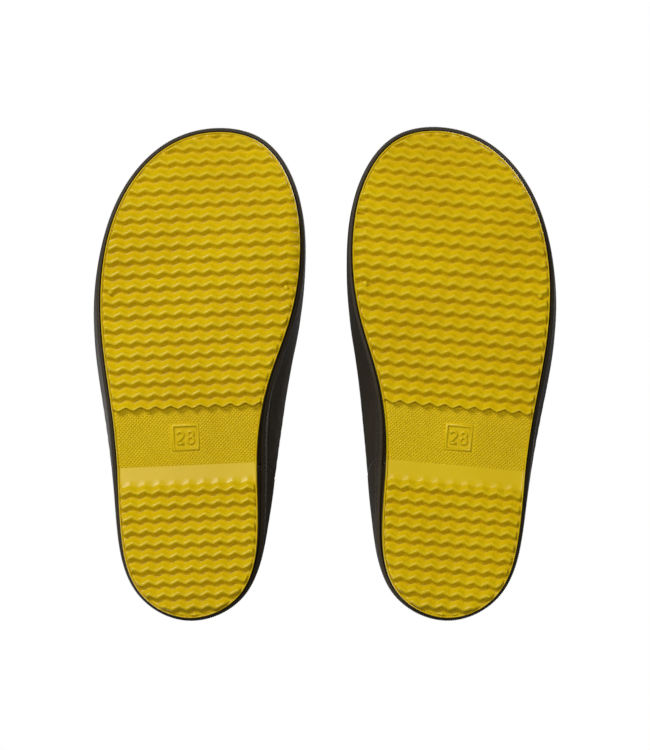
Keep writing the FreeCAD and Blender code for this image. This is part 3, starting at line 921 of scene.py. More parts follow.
class Rules(Library):
    """Geometry node trees for the pieces and patterns that follow a rule."""

    RIB_SECTION = ((0.07, 0.05), (0.17, 0.34), (0.27, 0.73), (0.36, 0.96), (0.43, 1.0), (0.5, 0.99),
                   (0.58, 0.88), (0.7, 0.6), (0.82, 0.3), (0.93, 0.06))

    @staticmethod
    def _open(name: str, **sizes: float) -> tuple[Nodes, bpy.types.bpy_prop_collection]:
        """Start a tree.

        Args:
            name: the tree's name.
            sizes: its own inputs and their defaults, with underscores for spaces.

        Returns:
            The tree's writer, and its inputs by name.
        """
        own = [(label.replace("_", " "), FLOAT, value) for label, value in sizes.items()]
        inputs = [("Geometry", GEOMETRY, None), *own, ("Material", MATERIAL, None)]
        tree = new_group(name, GEOMETRY_TREE, inputs, [("Geometry", GEOMETRY)])
        nodes = Nodes(tree)
        return nodes, nodes.add("NodeGroupInput").outputs

    @staticmethod
    def _close(nodes: Nodes, geometry, given) -> bpy.types.NodeTree:
        """End a tree: real geometry, smooth faces and the material."""
        real = nodes.add("GeometryNodeRealizeInstances", {0: geometry})
        smooth = nodes.add("GeometryNodeSetShadeSmooth", {0: real.outputs[0]})
        dressed = nodes.add("GeometryNodeSetMaterial", {0: smooth.outputs[0], "Material": given["Material"]})
        nodes.add("NodeGroupOutput", {0: dressed.outputs[0]})
        return nodes.tree

    @classmethod
    def _moved(cls, nodes: Nodes, given, offset) -> bpy.types.NodeTree:
        """End a tree that moves the mesh's points."""
        moved = nodes.add("GeometryNodeSetPosition",
                          {"Geometry": given["Geometry"], "Offset": offset.outputs[0]})
        return cls._close(nodes, moved.outputs[0], given)

    @classmethod
    def _placed(cls, nodes: Nodes, given, ball: dict, inputs: dict) -> bpy.types.NodeTree:
        """End a tree that sets a ball on every point.

        Args:
            nodes: the tree's writer.
            given: the tree's inputs.
            ball: the ball's segments, rings and radius.
            inputs: the balls' scale and rotation.

        Returns:
            The tree.
        """
        shape = nodes.add("GeometryNodeMeshUVSphere", ball)
        placed = nodes.add("GeometryNodeInstanceOnPoints",
                           {"Points": given["Geometry"], "Instance": shape.outputs[0], **inputs})
        return cls._close(nodes, placed.outputs[0], given)

    @staticmethod
    def _named(nodes: Nodes, name: str, kind: str = "FLOAT") -> bpy.types.NodeSocket:
        """Read a value that the mesh carries on its points."""
        node = nodes.add("GeometryNodeInputNamedAttribute", data_type=kind)
        node.inputs["Name"].default_value = name
        return node.outputs["Attribute"]

    @classmethod
    def _ribs(cls) -> bpy.types.NodeTree:
        """Press a sheet into ribs: each point sinks by the rib's section at its phase."""
        nodes, given = cls._open("TreadRibs", Rib_Height=0.0024)
        section = nodes.add("ShaderNodeFloatCurve", {1: cls._named(nodes, "rib_phase")})
        curve = section.mapping.curves[0]
        curve.points[0].location = (0.0, 0.0)
        curve.points[1].location = (1.0, 0.0)
        for phase, height in cls.RIB_SECTION:
            curve.points.new(phase, height)
        for knot in curve.points:
            knot.handle_type = "AUTO_CLAMPED"
        section.mapping.update()
        faded = nodes.math("MULTIPLY", section.outputs[0], cls._named(nodes, "rib_fade"))
        drop = nodes.math("MULTIPLY", faded, nodes.math("MULTIPLY", given["Rib Height"], -1.0))
        return cls._moved(nodes, given, nodes.add("ShaderNodeCombineXYZ", {"Z": drop}))

    @classmethod
    def _knurl(cls) -> bpy.types.NodeTree:
        """Raise a diamond knurl along the normals, on the surface map in metres."""
        nodes, given = cls._open("DiamondKnurl", Depth=0.0002, Pitch_Along=0.0014, Pitch_Up=0.0014)
        split = nodes.add("ShaderNodeSeparateXYZ", {0: cls._named(nodes, "surface_map", "FLOAT_VECTOR")})
        along = nodes.math("DIVIDE", split.outputs[0], given["Pitch Along"])
        upward = nodes.math("DIVIDE", split.outputs[1], given["Pitch Up"])
        ridges = []
        for operation in ("ADD", "SUBTRACT"):
            turn = nodes.math("MULTIPLY", nodes.math(operation, along, upward), math.pi)
            ridges.append(nodes.math("ABSOLUTE", nodes.math("SINE", turn)))
        diamond = nodes.math("POWER", nodes.math("MULTIPLY", *ridges), 0.7)
        masked = nodes.math("MULTIPLY", diamond, cls._named(nodes, "relief"))
        lift = nodes.math("MULTIPLY", masked, given["Depth"])
        normal = nodes.add("GeometryNodeInputNormal").outputs[0]
        offset = nodes.add("ShaderNodeVectorMath", {0: normal, "Scale": lift}, operation="SCALE")
        return cls._moved(nodes, given, offset)

    @classmethod
    def _dots(cls) -> bpy.types.NodeTree:
        """Set a small dome on every point, as large as the point's own size says."""
        nodes, given = cls._open("MouldedDots", Radius=0.0004, Height=0.0003)
        size = nodes.add("ShaderNodeCombineXYZ", {0: given["Radius"], 1: given["Radius"], 2: given["Height"]})
        own = cls._named(nodes, "dot_size")
        scale = nodes.add("ShaderNodeVectorMath", {0: size.outputs[0], "Scale": own}, operation="SCALE")
        return cls._placed(nodes, given, {"Segments": 8, "Rings": 6, "Radius": 1.0},
                           {"Scale": scale.outputs[0]})

    @classmethod
    def _stitches(cls) -> bpy.types.NodeTree:
        """Lay one short rounded stitch on every point, along the point's own aim."""
        nodes, given = cls._open("StitchRow", Length=0.0022, Thickness=0.0006)
        thickness = given["Thickness"]
        size = nodes.add("ShaderNodeCombineXYZ", {0: thickness, 1: thickness, 2: given["Length"]})
        aim = cls._named(nodes, "aim", "FLOAT_VECTOR")
        turn = nodes.add("FunctionNodeAlignRotationToVector", {"Vector": aim}, axis="Z")
        return cls._placed(nodes, given, {"Segments": 8, "Rings": 8, "Radius": 0.5},
                           {"Scale": size.outputs[0], "Rotation": turn.outputs[0]})


def follow_rule(piece: bpy.types.Object, rule: str, inputs: dict) -> None:
    """Run a piece's mesh through a rule and keep the result as a plain mesh.

    Args:
        piece: the object, whose mesh is replaced.
        rule: the rule's name in Rules.
        inputs: values by input name.
    """
    tree = Rules.get(rule)
    modifier = piece.modifiers.new(rule, "NODES")
    modifier.node_group = tree
    sockets = {item.name: item.identifier for item in tree.interface.items_tree
               if item.item_type == "SOCKET" and item.in_out == "INPUT"}
    for name, value in inputs.items():
        modifier[sockets[name]] = value
    graph = bpy.context.evaluated_depsgraph_get()
    result = bpy.data.meshes.new_from_object(piece.evaluated_get(graph), depsgraph=graph)
    piece.modifiers.remove(modifier)
    result.name = piece.name
    piece.data = result


# ---------------------------------------------------------------- layers of the upper

@dataclass(frozen=True)
class Layer:
    """A wall that follows the upper's outer face, between two offsets, with rounded edges."""
    inner: float
    outer: float
    rows: int
    columns: int
    rounding: float = 0.5

    def edge_share(self, places: Array, length: float) -> Array:
        """How thick the wall is near an edge, from 0 at the edge to 1, over its rounding."""
        reach = np.clip(places * length / self.rounding, 0, 1)
        return np.sqrt(np.clip(1 - (1 - reach) ** 2, 0, 1))

    def build(self, form: UpperForm, s: Array, low: Array, high: Array, closed: bool,
              relief: float = 0.0) -> Patch:
        """Build the wall.

        Args:
            form: the upper's form.
            s: places round the boot, by row and column or by column only.
            low: how far up the lower edge lies at each place.
            high: how far up the upper edge lies.
            closed: whether the wall runs all the way round.
            relief: how much surface relief the outer face takes.

        Returns:
            The wall with its surface map and relief.
        """
        q = self.spread(self.rows)
        s = np.broadcast_to(s, (self.rows, s.shape[-1]))
        t = low + q[:, None] * (high - low)
        middle = form.face(s, t)
        tall = np.linalg.norm(middle[-1] - middle[0], axis=-1)
        up = self.edge_share(np.minimum(q, 1 - q)[:, None], np.maximum(tall, 1e-6)[None, :])
        across = np.zeros(s.shape)
        steps = np.linalg.norm(np.diff(middle, axis=1), axis=-1)
        across[:, 1:] = np.cumsum(steps, axis=1)
        thick = up
        if not closed:
            reach = np.minimum(across, across[:, -1:] - across)
            thick = np.minimum(up, self.edge_share(reach, 1.0))
        wall = self.outer - self.inner
        outside = form.at(s, t, self.inner + wall * (0.35 + 0.65 * thick))
        inside = form.at(s, t, np.full(s.shape, self.inner))
        count, columns = outside.shape[:2]
        start = count * columns
        faces = grid_faces(count, columns, closed) + grid_faces(count, columns, closed, start, flipped=True)
        faces += self.rim(count, columns, closed)
        lengths = across[count // 2][None, :] + np.zeros((count, 1))
        heights = q[:, None] * tall[None, :]
        surface = np.stack([lengths, heights, np.zeros_like(lengths)], -1).reshape(-1, 3) * MM
        mask = np.minimum(thick, 1.0) * relief
        edge = np.minimum(np.minimum(q, 1 - q)[:, None] * tall[None, :] / 1.2, 1)
        values = {"surface_map": np.vstack([surface, surface]),
                  "relief": np.concatenate([(mask * edge).ravel(), np.zeros(start)])}
        return Patch(np.vstack([outside.reshape(-1, 3), inside.reshape(-1, 3)]), faces, values)

    def spread(self, count: int) -> Array:
        """Rows from edge to edge, closer together where the edges are rounded."""
        even = np.linspace(0, 1, count - 4)
        first = even[1] / 3
        return np.concatenate([[0, first * 0.3, first], even[1:-1], [1 - first, 1 - first * 0.3, 1]])

    @staticmethod
    def rim(rows: int, columns: int, closed: bool) -> list:
        """Faces that join the outer and the inner face along the edges."""
        start = rows * columns
        faces = []
        last = columns if closed else columns - 1
        top = (rows - 1) * columns
        for j in range(last):
            k = (j + 1) % columns
            faces.append((k, j, start + j, start + k))
            faces.append((top + j, top + k, start + top + k, start + top + j))
        if not closed:
            for i in range(rows - 1):
                low, high = i * columns, (i + 1) * columns
                faces.append((low, high, start + high, start + low))
                low, high = low + columns - 1, high + columns - 1
                faces.append((high, low, start + low, start + high))
        return faces


@dataclass
class Outsole:
    """The yellow moulded sole: zigzag ribs, dotted waist, size number and side wall."""
    form: SoleForm
    place: BootPlace
    heel_groove: float = 49.5
    heel_pitch: float = 5.26
    fore_groove: float = 88.7
    fore_pitch: float = 5.42
    pitch_growth: float = 0.0069
    heel_end: float = 54.5
    fore_end: float = 85.6
    zigzag_period: float = 6.27
    zigzag_depth: float = 1.4
    zigzag_start: float = 0.85
    groove_share: float = 0.7
    skew: float = 4.75
    columns_per_period: int = 14
    edge_zone: float = 0.75
    edge_fade: float = 0.55
    waist_step: float = 0.5
    dot_across: float = 1.45
    dot_along: float = 0.75
    badge_centre: tuple = (3.0, 73.3)
    badge_size: tuple = (11.0, 10.7)
    pips: tuple = ((35.6, 131.0), (-35.4, 135.5), (-35.5, 156.0))
    pip_size: float = 2.4
    rim_line: tuple = ((0.6, -0.3), (0.46, -0.62), (0.3, -0.72), (0.14, -0.6), (0.03, -0.2), (0.0, 0.5))
    wall_lines: tuple = ((0.2, 0.0), (0.4, 0.0), (0.46, 0.22), (0.52, 0.22), (0.58, 0.0), (0.8, 0.0),
                         (0.97, 0.0))
    phases: tuple = (0.0, 0.05, 0.11, 0.18, 0.25, 0.31, 0.38, 0.45, 0.52, 0.6, 0.68, 0.76, 0.84, 0.93)

    def to_boot(self, u: Array, v: Array) -> tuple[Array, Array]:
        """Turn the tread's own axes into the boot's."""
        angle = math.radians(self.skew)
        return u * math.cos(angle) + v * math.sin(angle), v * math.cos(angle) - u * math.sin(angle)

    def to_tread(self, x: Array, y: Array) -> tuple[Array, Array]:
        """Turn the boot's axes into the tread's own."""
        angle = math.radians(self.skew)
        return x * math.cos(angle) - y * math.sin(angle), x * math.sin(angle) + y * math.cos(angle)

    def zigzag(self, u: Array) -> Array:
        """The zigzag's sway, a triangle wave with slightly rounded turns."""
        sharp = 0.95
        turn = 2 * math.pi * (u - self.zigzag_start) / self.zigzag_period
        wave = np.arcsin(sharp * np.sin(turn)) / math.asin(sharp)
        return wave * self.zigzag_depth / 2

    def floor(self, y: Array, v: Array) -> Array:
        """Height of the sole between its ribs, at the waist panel and on the ramp."""
        form = self.form
        high = form.waist_clearance + form.waist_drop
        waist = np.interp(v, [self.heel_end, form.waist_start, self.fore_end - 0.15, self.fore_end],
                          [form.rib_height, high, form.waist_clearance, form.rib_height])
        return waist + form.tread(y)

    def rows(self) -> Array:
        """All rows of the tread: place along, phase in the rib, share of zigzag, and 1 on ribs."""
        rows = []
        for k in range(12):
            low = self.heel_groove - k * self.heel_pitch
            for phase in self.phases:
                stretch = self.heel_end - low if k == 0 and phase > 0.5 else self.heel_pitch
                start = 0.5 * self.heel_pitch if k == 0 and phase > 0.5 else 0.0
                share = (phase - 0.5) / 0.5 if k == 0 and phase > 0.5 else phase
                rows.append((low + start + share * (stretch - start), phase, 1.0))
        grooves = [self.fore_groove + k * self.fore_pitch + k * k * self.pitch_growth for k in range(-1, 23)]
        for low, high in zip(grooves, grooves[1:]):
            for phase in self.phases:
                v = low + phase * (high - low)
                if v > self.fore_end:
                    rows.append((v, phase, 1.0))
        steps = int((self.fore_end - self.heel_end - self.waist_step) / self.waist_step)
        for i in range(steps + 1):
            rows.append((self.heel_end + i * self.waist_step, 0.0, 0.0))
        rows.append((self.fore_end - 0.12, 0.0, 0.0))
        rows.sort()
        v = np.array([row[0] for row in rows])
        phase = np.array([row[1] for row in rows])
        ribbed = np.array([row[2] for row in rows])
        near = np.minimum(np.abs(v - self.heel_end), np.abs(v - self.fore_end))
        ribs = self.groove_share + (1 - self.groove_share) * bump(phase - 0.46, 0.22)
        sway = np.where(ribbed > 0, ribs, np.clip(1 - near / 2.2, 0, 1))
        return np.stack([v, phase, sway, ribbed], 1)

    def widen(self, v: Array) -> Array:
        """How wide the zigzags are at a place along the tread; they narrow towards the heel."""
        return np.interp(v, [30, 56, 110, 152, 190], [0.945, 0.955, 0.975, 1.0, 1.02])

    def tread_sheet(self) -> tuple[Patch, Array, Array]:
        """The ribbed underside inside the plain edge.

        Returns:
            The sheet, its boundary edges in order of direction, and each point's place round
            the outline.
        """
        table = self.rows()
        step = self.zigzag_period / self.columns_per_period
        reach = math.ceil((self.form.width * 0.62) / step)
        u = np.arange(-reach, reach + 1) * step
        v, phase, sway, ribbed = (table[:, k][:, None] for k in range(4))
        along = v + sway * self.zigzag(u)[None, :]
        x, y = self.to_boot(u[None, :] * self.widen(v) + 0 * along, along)
        distance, place = self.form.edge_distance(x, y)
        inside = distance > self.edge_zone + 0.12
        snap_x, snap_y = self.form.outline(place, self.edge_zone)
        x = np.where(inside, x, snap_x)
        y = np.where(inside, y, snap_y)
        depth = distance - self.edge_zone
        fade = ribbed * ease(depth / self.edge_fade)
        fade = np.where(inside, fade, 0.0)
        z = self.floor(y, v + 0 * x)
        points = np.stack([x, y, z], -1).reshape(-1, 3)
        corner = np.arange(x.size).reshape(x.shape)
        quads = np.stack([corner[:-1, :-1], corner[1:, :-1], corner[1:, 1:], corner[:-1, 1:]], -1)
        quads = quads.reshape(-1, 4)
        quads = quads[inside.ravel()[quads].any(1)]
        used = np.unique(quads)
        index = np.full(x.size, -1)
        index[used] = np.arange(len(used))
        quads = index[quads]
        edges = np.vstack([quads[:, [k, (k + 1) % 4]] for k in range(4)])
        keys = edges.min(1) * len(used) + edges.max(1)
        _, first, counts = np.unique(keys, return_index=True, return_counts=True)
        rim = edges[first[counts == 1]]
        values = {"rib_phase": (phase + 0 * x).ravel()[used], "rib_fade": fade.ravel()[used]}
        return Patch(points[used], [tuple(q) for q in quads.tolist()], values), rim, place.ravel()[used]

    def even_rim(self, sheet: Patch, rim: Array, places: Array) -> Array:
        """Even out the boundary's places round the outline, so that no face of the wall folds back.

        Args:
            sheet: the ribbed underside, whose boundary points are moved along the edge.
            rim: its boundary edges, in order of direction.
            places: each point's place round the outline.

        Returns:
            The evened places.
        """
        follow = {int(a): int(b) for a, b in rim.tolist()}
        loop = [int(rim[0, 0])]
        while follow[loop[-1]] != loop[0] and len(loop) < len(follow):
            loop.append(follow[loop[-1]])
        steps = (np.diff(places[loop], append=places[loop[:1]]) + 0.5) % 1 - 0.5
        way = math.copysign(1.0, steps.sum())
        reach = 3
        padded = np.concatenate([steps[-reach:], steps, steps[:reach]])
        smooth = np.maximum(way * np.convolve(padded, np.ones(2 * reach + 1), "valid"), 1e-5)
        even = places[loop[0]] + way * np.concatenate([[0.0], np.cumsum(smooth)[:-1]]) / smooth.sum()
        even += ((places[loop] - even + 0.5) % 1 - 0.5).mean()
        result = places.copy()
        result[loop] = even % 1
        x, y = self.form.outline(result[loop], self.edge_zone)
        sheet.points[loop] = np.stack([x, y, self.floor(y, self.to_tread(x, y)[1])], -1)
        log.info("%s: %d of %d rim points evened", self.place.side.word, len(loop), len(rim))
        return result

    def side_wall(self, sheet: Patch, rim: Array, places: Array) -> Patch:
        """Add the rim line, the side wall and the upper face to the tread sheet.

        Args:
            sheet: the ribbed underside.
            rim: its boundary edges.
            places: each point's place round the outline.

        Returns:
            The closed sole.
        """
        members = np.unique(rim)
        order = {int(k): i for i, k in enumerate(members)}
        s = places[members]
        x, y = self.form.outline(s)
        v = self.to_tread(x, y)[1]
        top = self.form.top(y)
        low = self.floor(y, v)
        steps = [(inset, low + lift) for inset, lift in self.rim_line]
        foot = low + self.rim_line[-1][1]
        steps += [(dent, foot + (top - foot) * share) for share, dent in self.wall_lines]
        steps += [(0.3, top), (3.0, top + 0.02)]
        rings = [np.stack([*self.form.outline(s, inset), height], -1) for inset, height in steps]
        points = [sheet.points] + rings
        faces = list(sheet.faces)
        ring_start = len(sheet.points)
        before = {int(k): int(k) for k in members}
        for _ in steps:
            after = {k: ring_start + i for k, i in order.items()}
            for a, b in rim.tolist():
                faces.append((before[b], before[a], after[a], after[b]))
            before = after
            ring_start += len(members)
        extra = len(members) * len(steps)
        values = {key: np.concatenate([value, np.zeros(extra)]) for key, value in sheet.values.items()}
        return Patch(np.vstack(points), faces, values)

    def close_top(self, piece: bpy.types.Object) -> None:
        """Fill the hole under the footbed with flat faces."""
        build = bmesh.new()
        build.from_mesh(piece.data)
        open_edges = [edge for edge in build.edges if len(edge.link_faces) == 1]
        bmesh.ops.triangle_fill(build, use_beauty=True, use_dissolve=False, edges=open_edges,
                                normal=(0, 0, 1))
        build.to_mesh(piece.data)
        build.free()

    def bead(self, path: Array, width: float, height: float, closed: bool) -> Patch:
        """A raised rounded line on the waist panel.

        Args:
            path: its points in the tread's own axes.
            width: how wide it is at the foot.
            height: how far it stands up.
            closed: whether it runs back to its start.

        Returns:
            The line.
        """
        ahead = np.roll(path, -1, 0) if closed else np.vstack([path[1:], 2 * path[-1:] - path[-2:-1]])
        behind = np.roll(path, 1, 0) if closed else np.vstack([2 * path[:1] - path[1:2], path[:-1]])
        first = unit(path - behind)
        along = unit(first + unit(ahead - path))
        stretch = 1 / np.clip((along * first).sum(1), 0.6, 1)
        sideways = np.stack([-along[:, 1], along[:, 0]], 1) * stretch[:, None]
        half = ((-0.5, 0.4), (-0.5, -0.2), (-0.38, -0.75), (-0.2, -1.0))
        section = half + tuple((-across, lift) for across, lift in half[::-1])
        rings = []
        for across, lift in section:
            flat = path + sideways * across * width
            x, y = self.to_boot(flat[:, 0], flat[:, 1])
            centre_v = path[:, 1]
            rings.append(np.stack([x, y, self.floor(y, centre_v) + lift * height], -1))
        return tube(np.stack(rings, 1), caps=not closed, closed_path=closed)

    def badge(self) -> Patch:
        """The raised square and the size number in it, readable from underneath."""
        centre = np.array(self.to_tread(*self.badge_centre))
        mirror = np.array([-1.0 if self.place.side is Side.RIGHT else 1.0, 1.0])
        half_w, half_h = (size / 2 - 0.5 for size in self.badge_size)
        square = np.array([(-half_w, -half_h), (half_w, -half_h), (half_w, half_h), (-half_w, half_h)])
        patch = self.bead(square + centre, 1.15, 0.85, closed=True)
        for path, closed in self.digit_paths():
            patch = patch.joined(self.bead(path * mirror + centre, 1.2, 0.8, closed))
        return patch

    @staticmethod
    def digit_paths() -> list:
        """Strokes of the digits 2 and 8 round the badge's centre, as points and whether closed."""
        def arc(x: float, y: float, radius: float, start: float, end: float, count: int) -> Array:
            """Points of an arc, with its angles in degrees."""
            angle = np.radians(np.linspace(start, end, count))
            return np.stack([x + radius * np.cos(angle), y + radius * np.sin(angle)], 1)

        hook = arc(-2.15, 1.15, 1.25, 165, -35, 12)
        two = np.vstack([hook, [(-3.35, -2.45), (-0.8, -2.45)]])
        upper = arc(2.05, 1.25, 1.12, 0, 360, 17)[:-1]
        lower = arc(2.05, -1.2, 1.3, 0, 360, 17)[:-1]
        return [(two[:-1], False), (two[-2:], False), (upper, True), (lower, True)]

    def dot_points(self) -> Patch:
        """Where the waist's dots and the moulding pips stand, with their sizes."""
        form = self.form
        count = int((self.fore_end + 1.0 - form.waist_start) / self.dot_along)
        rows = form.waist_start + 0.5 + np.arange(count) * self.dot_along
        reach = int(form.width / 2 / self.dot_across) + 4
        u = np.arange(-reach, reach + 1) * self.dot_across
        grid_v, grid_u = np.meshgrid(rows, u, indexing="ij")
        grid_u = grid_u + (np.arange(count) % 2)[:, None] * self.dot_across / 2
        x, y = self.to_boot(grid_u, grid_v)
        centre = self.to_tread(*self.badge_centre)
        outside_badge = ((np.abs(grid_u - centre[0]) > self.badge_size[0] / 2 + 0.5)
                         | (np.abs(grid_v - centre[1]) > self.badge_size[1] / 2 + 0.4))
        zig = self.zigzag(grid_u / self.widen(grid_v))
        keep = (form.edge_distance(x, y)[0] > 1.2) & outside_badge & (grid_v < self.fore_end - 0.7 + zig)
        dots = np.stack([x, y, self.floor(y, grid_v)], -1)[keep]
        pips = np.array([(px, py, form.tread(np.array(py)) + 1.0) for px, py in self.pips], float)
        sizes = np.concatenate([np.ones(len(dots)), np.full(len(pips), self.pip_size)])
        return Patch(np.vstack([dots, pips]), [], {"dot_size": sizes})

    def build(self) -> None:
        """Make the sole, its dots and its size number."""
        material = SOLE_YELLOW.material()
        sheet, rim, places = self.tread_sheet()
        places = self.even_rim(sheet, rim, places)
        sole = make_object("outsole", self.side_wall(sheet, rim, places), self.place, [material])
        self.close_top(sole)
        follow_rule(sole, "ribs", {"Rib Height": self.form.rib_height * MM, "Material": material})
        finish_piece(sole, self.place.body, ["outsole_" + self.place.side.word])
        dots = make_object("sole_dots", self.dot_points(), self.place, [material])
        follow_rule(dots, "dots", {"Radius": 0.5 * MM, "Height": 0.33 * MM, "Material": material})
        finish_piece(dots, self.place.body)
        badge = make_object("size_badge", self.badge(), self.place, [material])
        finish_piece(badge, self.place.body)


@dataclass
class Upper:
    """The rubber upper: vamp, leg, rand, heel counter, foxing, back strip and collar band."""
    form: UpperForm
    place: BootPlace
    bond: float = 0.1
    rubber_wall: float = 2.0
    rand_wall: float = 1.3
    foxing_wall: float = 1.5
    foxing_below: float = 1.5
    foxing_above: float = 3.0
    strip_wall: float = 1.2
    strip_width: float = 14.0
    band_wall: float = 1.3
    band_height: float = 12.0
    seam_gap: float = 0.3
    counter_height: float = 56.0
    rand_height: float = 32.0
    toe_cap_height: float = 37.0
    counter_foot: float = 70.0
    counter_top: float = 57.0
    knurl_depth: float = 0.3
    knurl_pitch: float = 0.78
    throat: tuple = ((-12, 60), (30, 66), (62, 80), (91, 108), (111, 150))

    def throat_rule(self) -> Rule:
        """Positive behind the seam between vamp and leg, negative in front of it."""
        table = SmoothTable([z for z, _ in self.throat], [[y] for _, y in self.throat])
        return lambda y, z: table.at(z)[..., 0] + np.clip(z - 111, 0, 999) * 4 - y

    def ends_of(self, low: Callable[[Array], Array], high: Callable[[Array], Array]) -> tuple[float, float]:
        """Where round the boot a region starts and ends: its upper edge meets its lower edge."""
        s = np.linspace(0.02, 0.98, 961)
        open_here = np.flatnonzero(high(s) - low(s) > 1e-4)
        return float(s[open_here[0]]), float(s[open_here[-1]])

    def build_vamp(self) -> None:
        """The front of the upper, from the sole up to the throat seam."""
        rule = self.throat_rule()
        low = lambda s: self.form.above_sole(s, self.bond)
        high = lambda s: self.form.cross(s, rule)
        start, end = self.ends_of(low, high)
        s = np.linspace(start, end, 150)
        layer = Layer(-self.rubber_wall, 0.0, 64, 150)
        patch = layer.build(self.form, s, low(s), np.maximum(high(s), low(s) + 1e-4), closed=False)
        self.finish("vamp", patch, UPPER_DARK, "upper_rubber")

    def build_leg(self) -> None:
        """The shaft, from the throat seam and the sole up to the collar."""
        rule = self.throat_rule()
        s = np.arange(220) / 220
        low = np.maximum(self.form.above_sole(s, self.bond),
                         self.form.cross(s, lambda y, z: rule(y, z) - self.bond))
        high = self.form.at_height(s, self.form.height)
        layer = Layer(-self.rubber_wall, 0.0, 110, 220)
        self.finish("leg", layer.build(self.form, s, low, high, closed=True), UPPER_DARK, "upper_rubber")

    def border(self, y: Array, z: Array) -> Array:
        """Positive in front of the slanting line between counter and rand."""
        return y - (self.counter_foot + (self.counter_top - self.counter_foot) * z / self.rand_height)

    def border_place(self, t: Array, first: float, last: float, shift: float) -> Array:
        """Where round the boot rows cross the slanting line, between two places."""
        def passed(s: Array) -> Array:
            """Whether the face lies in front of the slanting line."""
            point = self.form.face(s, t)
            return self.border(point[..., 1], point[..., 2]) > shift

        return bisect(np.full_like(t, first), np.full_like(t, last), passed)

    def rand_top(self, s: Array) -> Array:
        """How far up the rand's upper edge lies: level along the foot, rising over the toes."""
        length = self.form.sole.length
        edge = SmoothTable([0, self.counter_top, length * 0.6, length * 0.88, length + 12],
                           [[self.rand_height], [self.rand_height], [self.rand_height - 1],
                            [self.rand_height], [self.toe_cap_height]])
        return self.form.cross(s, lambda y, z: z - edge.at(y)[..., 0])

    def counter_edge(self, s: Array) -> Array:
        """How far up the counter's upper edge lies: a straight line falling towards the front."""
        back = -12.0
        slope = (self.rand_height - self.counter_height) / (self.counter_top - back)
        return self.form.cross(s, lambda y, z: z - self.counter_height - slope * (y - back))

    def wrapped(self, layer: Layer, centre: float, top: Callable[[Array], Array], shift: float) -> Patch:
        """A wall wrapped round the toe or the heel, ended by the slanting line on both sides.

        Args:
            layer: the wall.
            centre: 0.5 for round the toe, 0 for round the heel.
            top: how far up the upper edge lies at each place.
            shift: how far in front of the slanting line it ends.

        Returns:
            The wall.
        """
        lift = self.foxing_above + self.seam_gap
        rows = layer.spread(layer.rows)
        half = np.linspace(0, 1, layer.columns)
        s = np.empty((layer.rows, layer.columns))
        for i, q in enumerate(rows):
            ends = []
            for first, last in ((0.05, 0.45), (0.95, 0.55)):
                place = np.array([0.2 if first < 0.5 else 0.8])
                for _ in range(4):
                    t = self.form.above_sole(place, lift) * (1 - q) + top(place) * q
                    place = self.border_place(t, first, last, shift)
                ends.append(float(place[0]))
            outer, inner = ends
            if centre == 0.5:
                s[i] = outer + half * (inner - outer)
            else:
                s[i] = (inner - 1) + half * (outer + 1 - inner)
        flat = s % 1.0
        low = self.form.above_sole(flat, lift)
        return layer.build(self.form, s, low, top(flat), closed=False, relief=1.0)

    def build_rand(self) -> None:
        """The knurled rubber round the toe and forefoot."""
        layer = Layer(self.bond, self.bond + self.rand_wall - 0.2, 30, 1500, 0.6)
        patch = self.wrapped(layer, 0.5, self.rand_top, self.seam_gap)
        self.finish("toe_rand", patch, RAND_DARK, "rand_rubber", knurl=True)

    def build_counter(self) -> None:
        """The knurled stiffener round the heel."""
        layer = Layer(self.bond, self.bond + self.rand_wall - 0.2, 50, 640, 0.6)
        patch = self.wrapped(layer, 0.0, self.counter_edge, 0.0)
        self.finish("heel_counter", patch, RAND_DARK, "rand_rubber", knurl=True)

    def build_foxing(self) -> None:
        """The thin strip over the joint of sole and upper."""
        s = np.arange(2600) / 2600
        layer = Layer(self.bond, self.bond + self.foxing_wall - 0.25, 12, 2600, 0.6)
        patch = layer.build(self.form, s, self.form.above_sole(s, -self.foxing_below),
                            self.form.above_sole(s, self.foxing_above), closed=True, relief=1.0)
        self.finish("foxing_strip", patch, RAND_DARK, "rand_rubber", knurl=True, pitch_up=60.0)

    def build_back_strip(self) -> None:
        """The strip over the seam at the back of the leg."""
        layer = Layer(self.bond, self.bond + self.strip_wall, 70, 15, 0.6)
        level = np.array([0.0])
        low = self.counter_edge(level) + 0.002
        high = self.form.at_height(level, self.form.height - self.band_height - self.seam_gap)
        rows = layer.spread(layer.rows)
        t = low + rows * (high - low)
        half = bisect(np.zeros_like(t), np.full_like(t, 0.2),
                      lambda s: self.form.face(s, t)[:, 0] > self.strip_width / 2)
        s = half[:, None] * np.linspace(-1, 1, layer.columns)[None, :]
        shape = np.full(layer.columns, 1.0)
        patch = layer.build(self.form, s, low * shape, high * shape, closed=False)
        self.finish("back_strip", patch, UPPER_DARK, "upper_rubber")

    def build_band(self) -> None:
        """The rubber band round the top edge."""
        s = np.arange(220) / 220
        layer = Layer(self.bond, self.bond + self.band_wall, 22, 220, 0.6)
        low = self.form.at_height(s, self.form.height - self.band_height)
        high = self.form.at_height(s, self.form.height)
        patch = layer.build(self.form, s, low, high, closed=True)
        self.finish("collar_band", patch, UPPER_DARK, "upper_rubber")

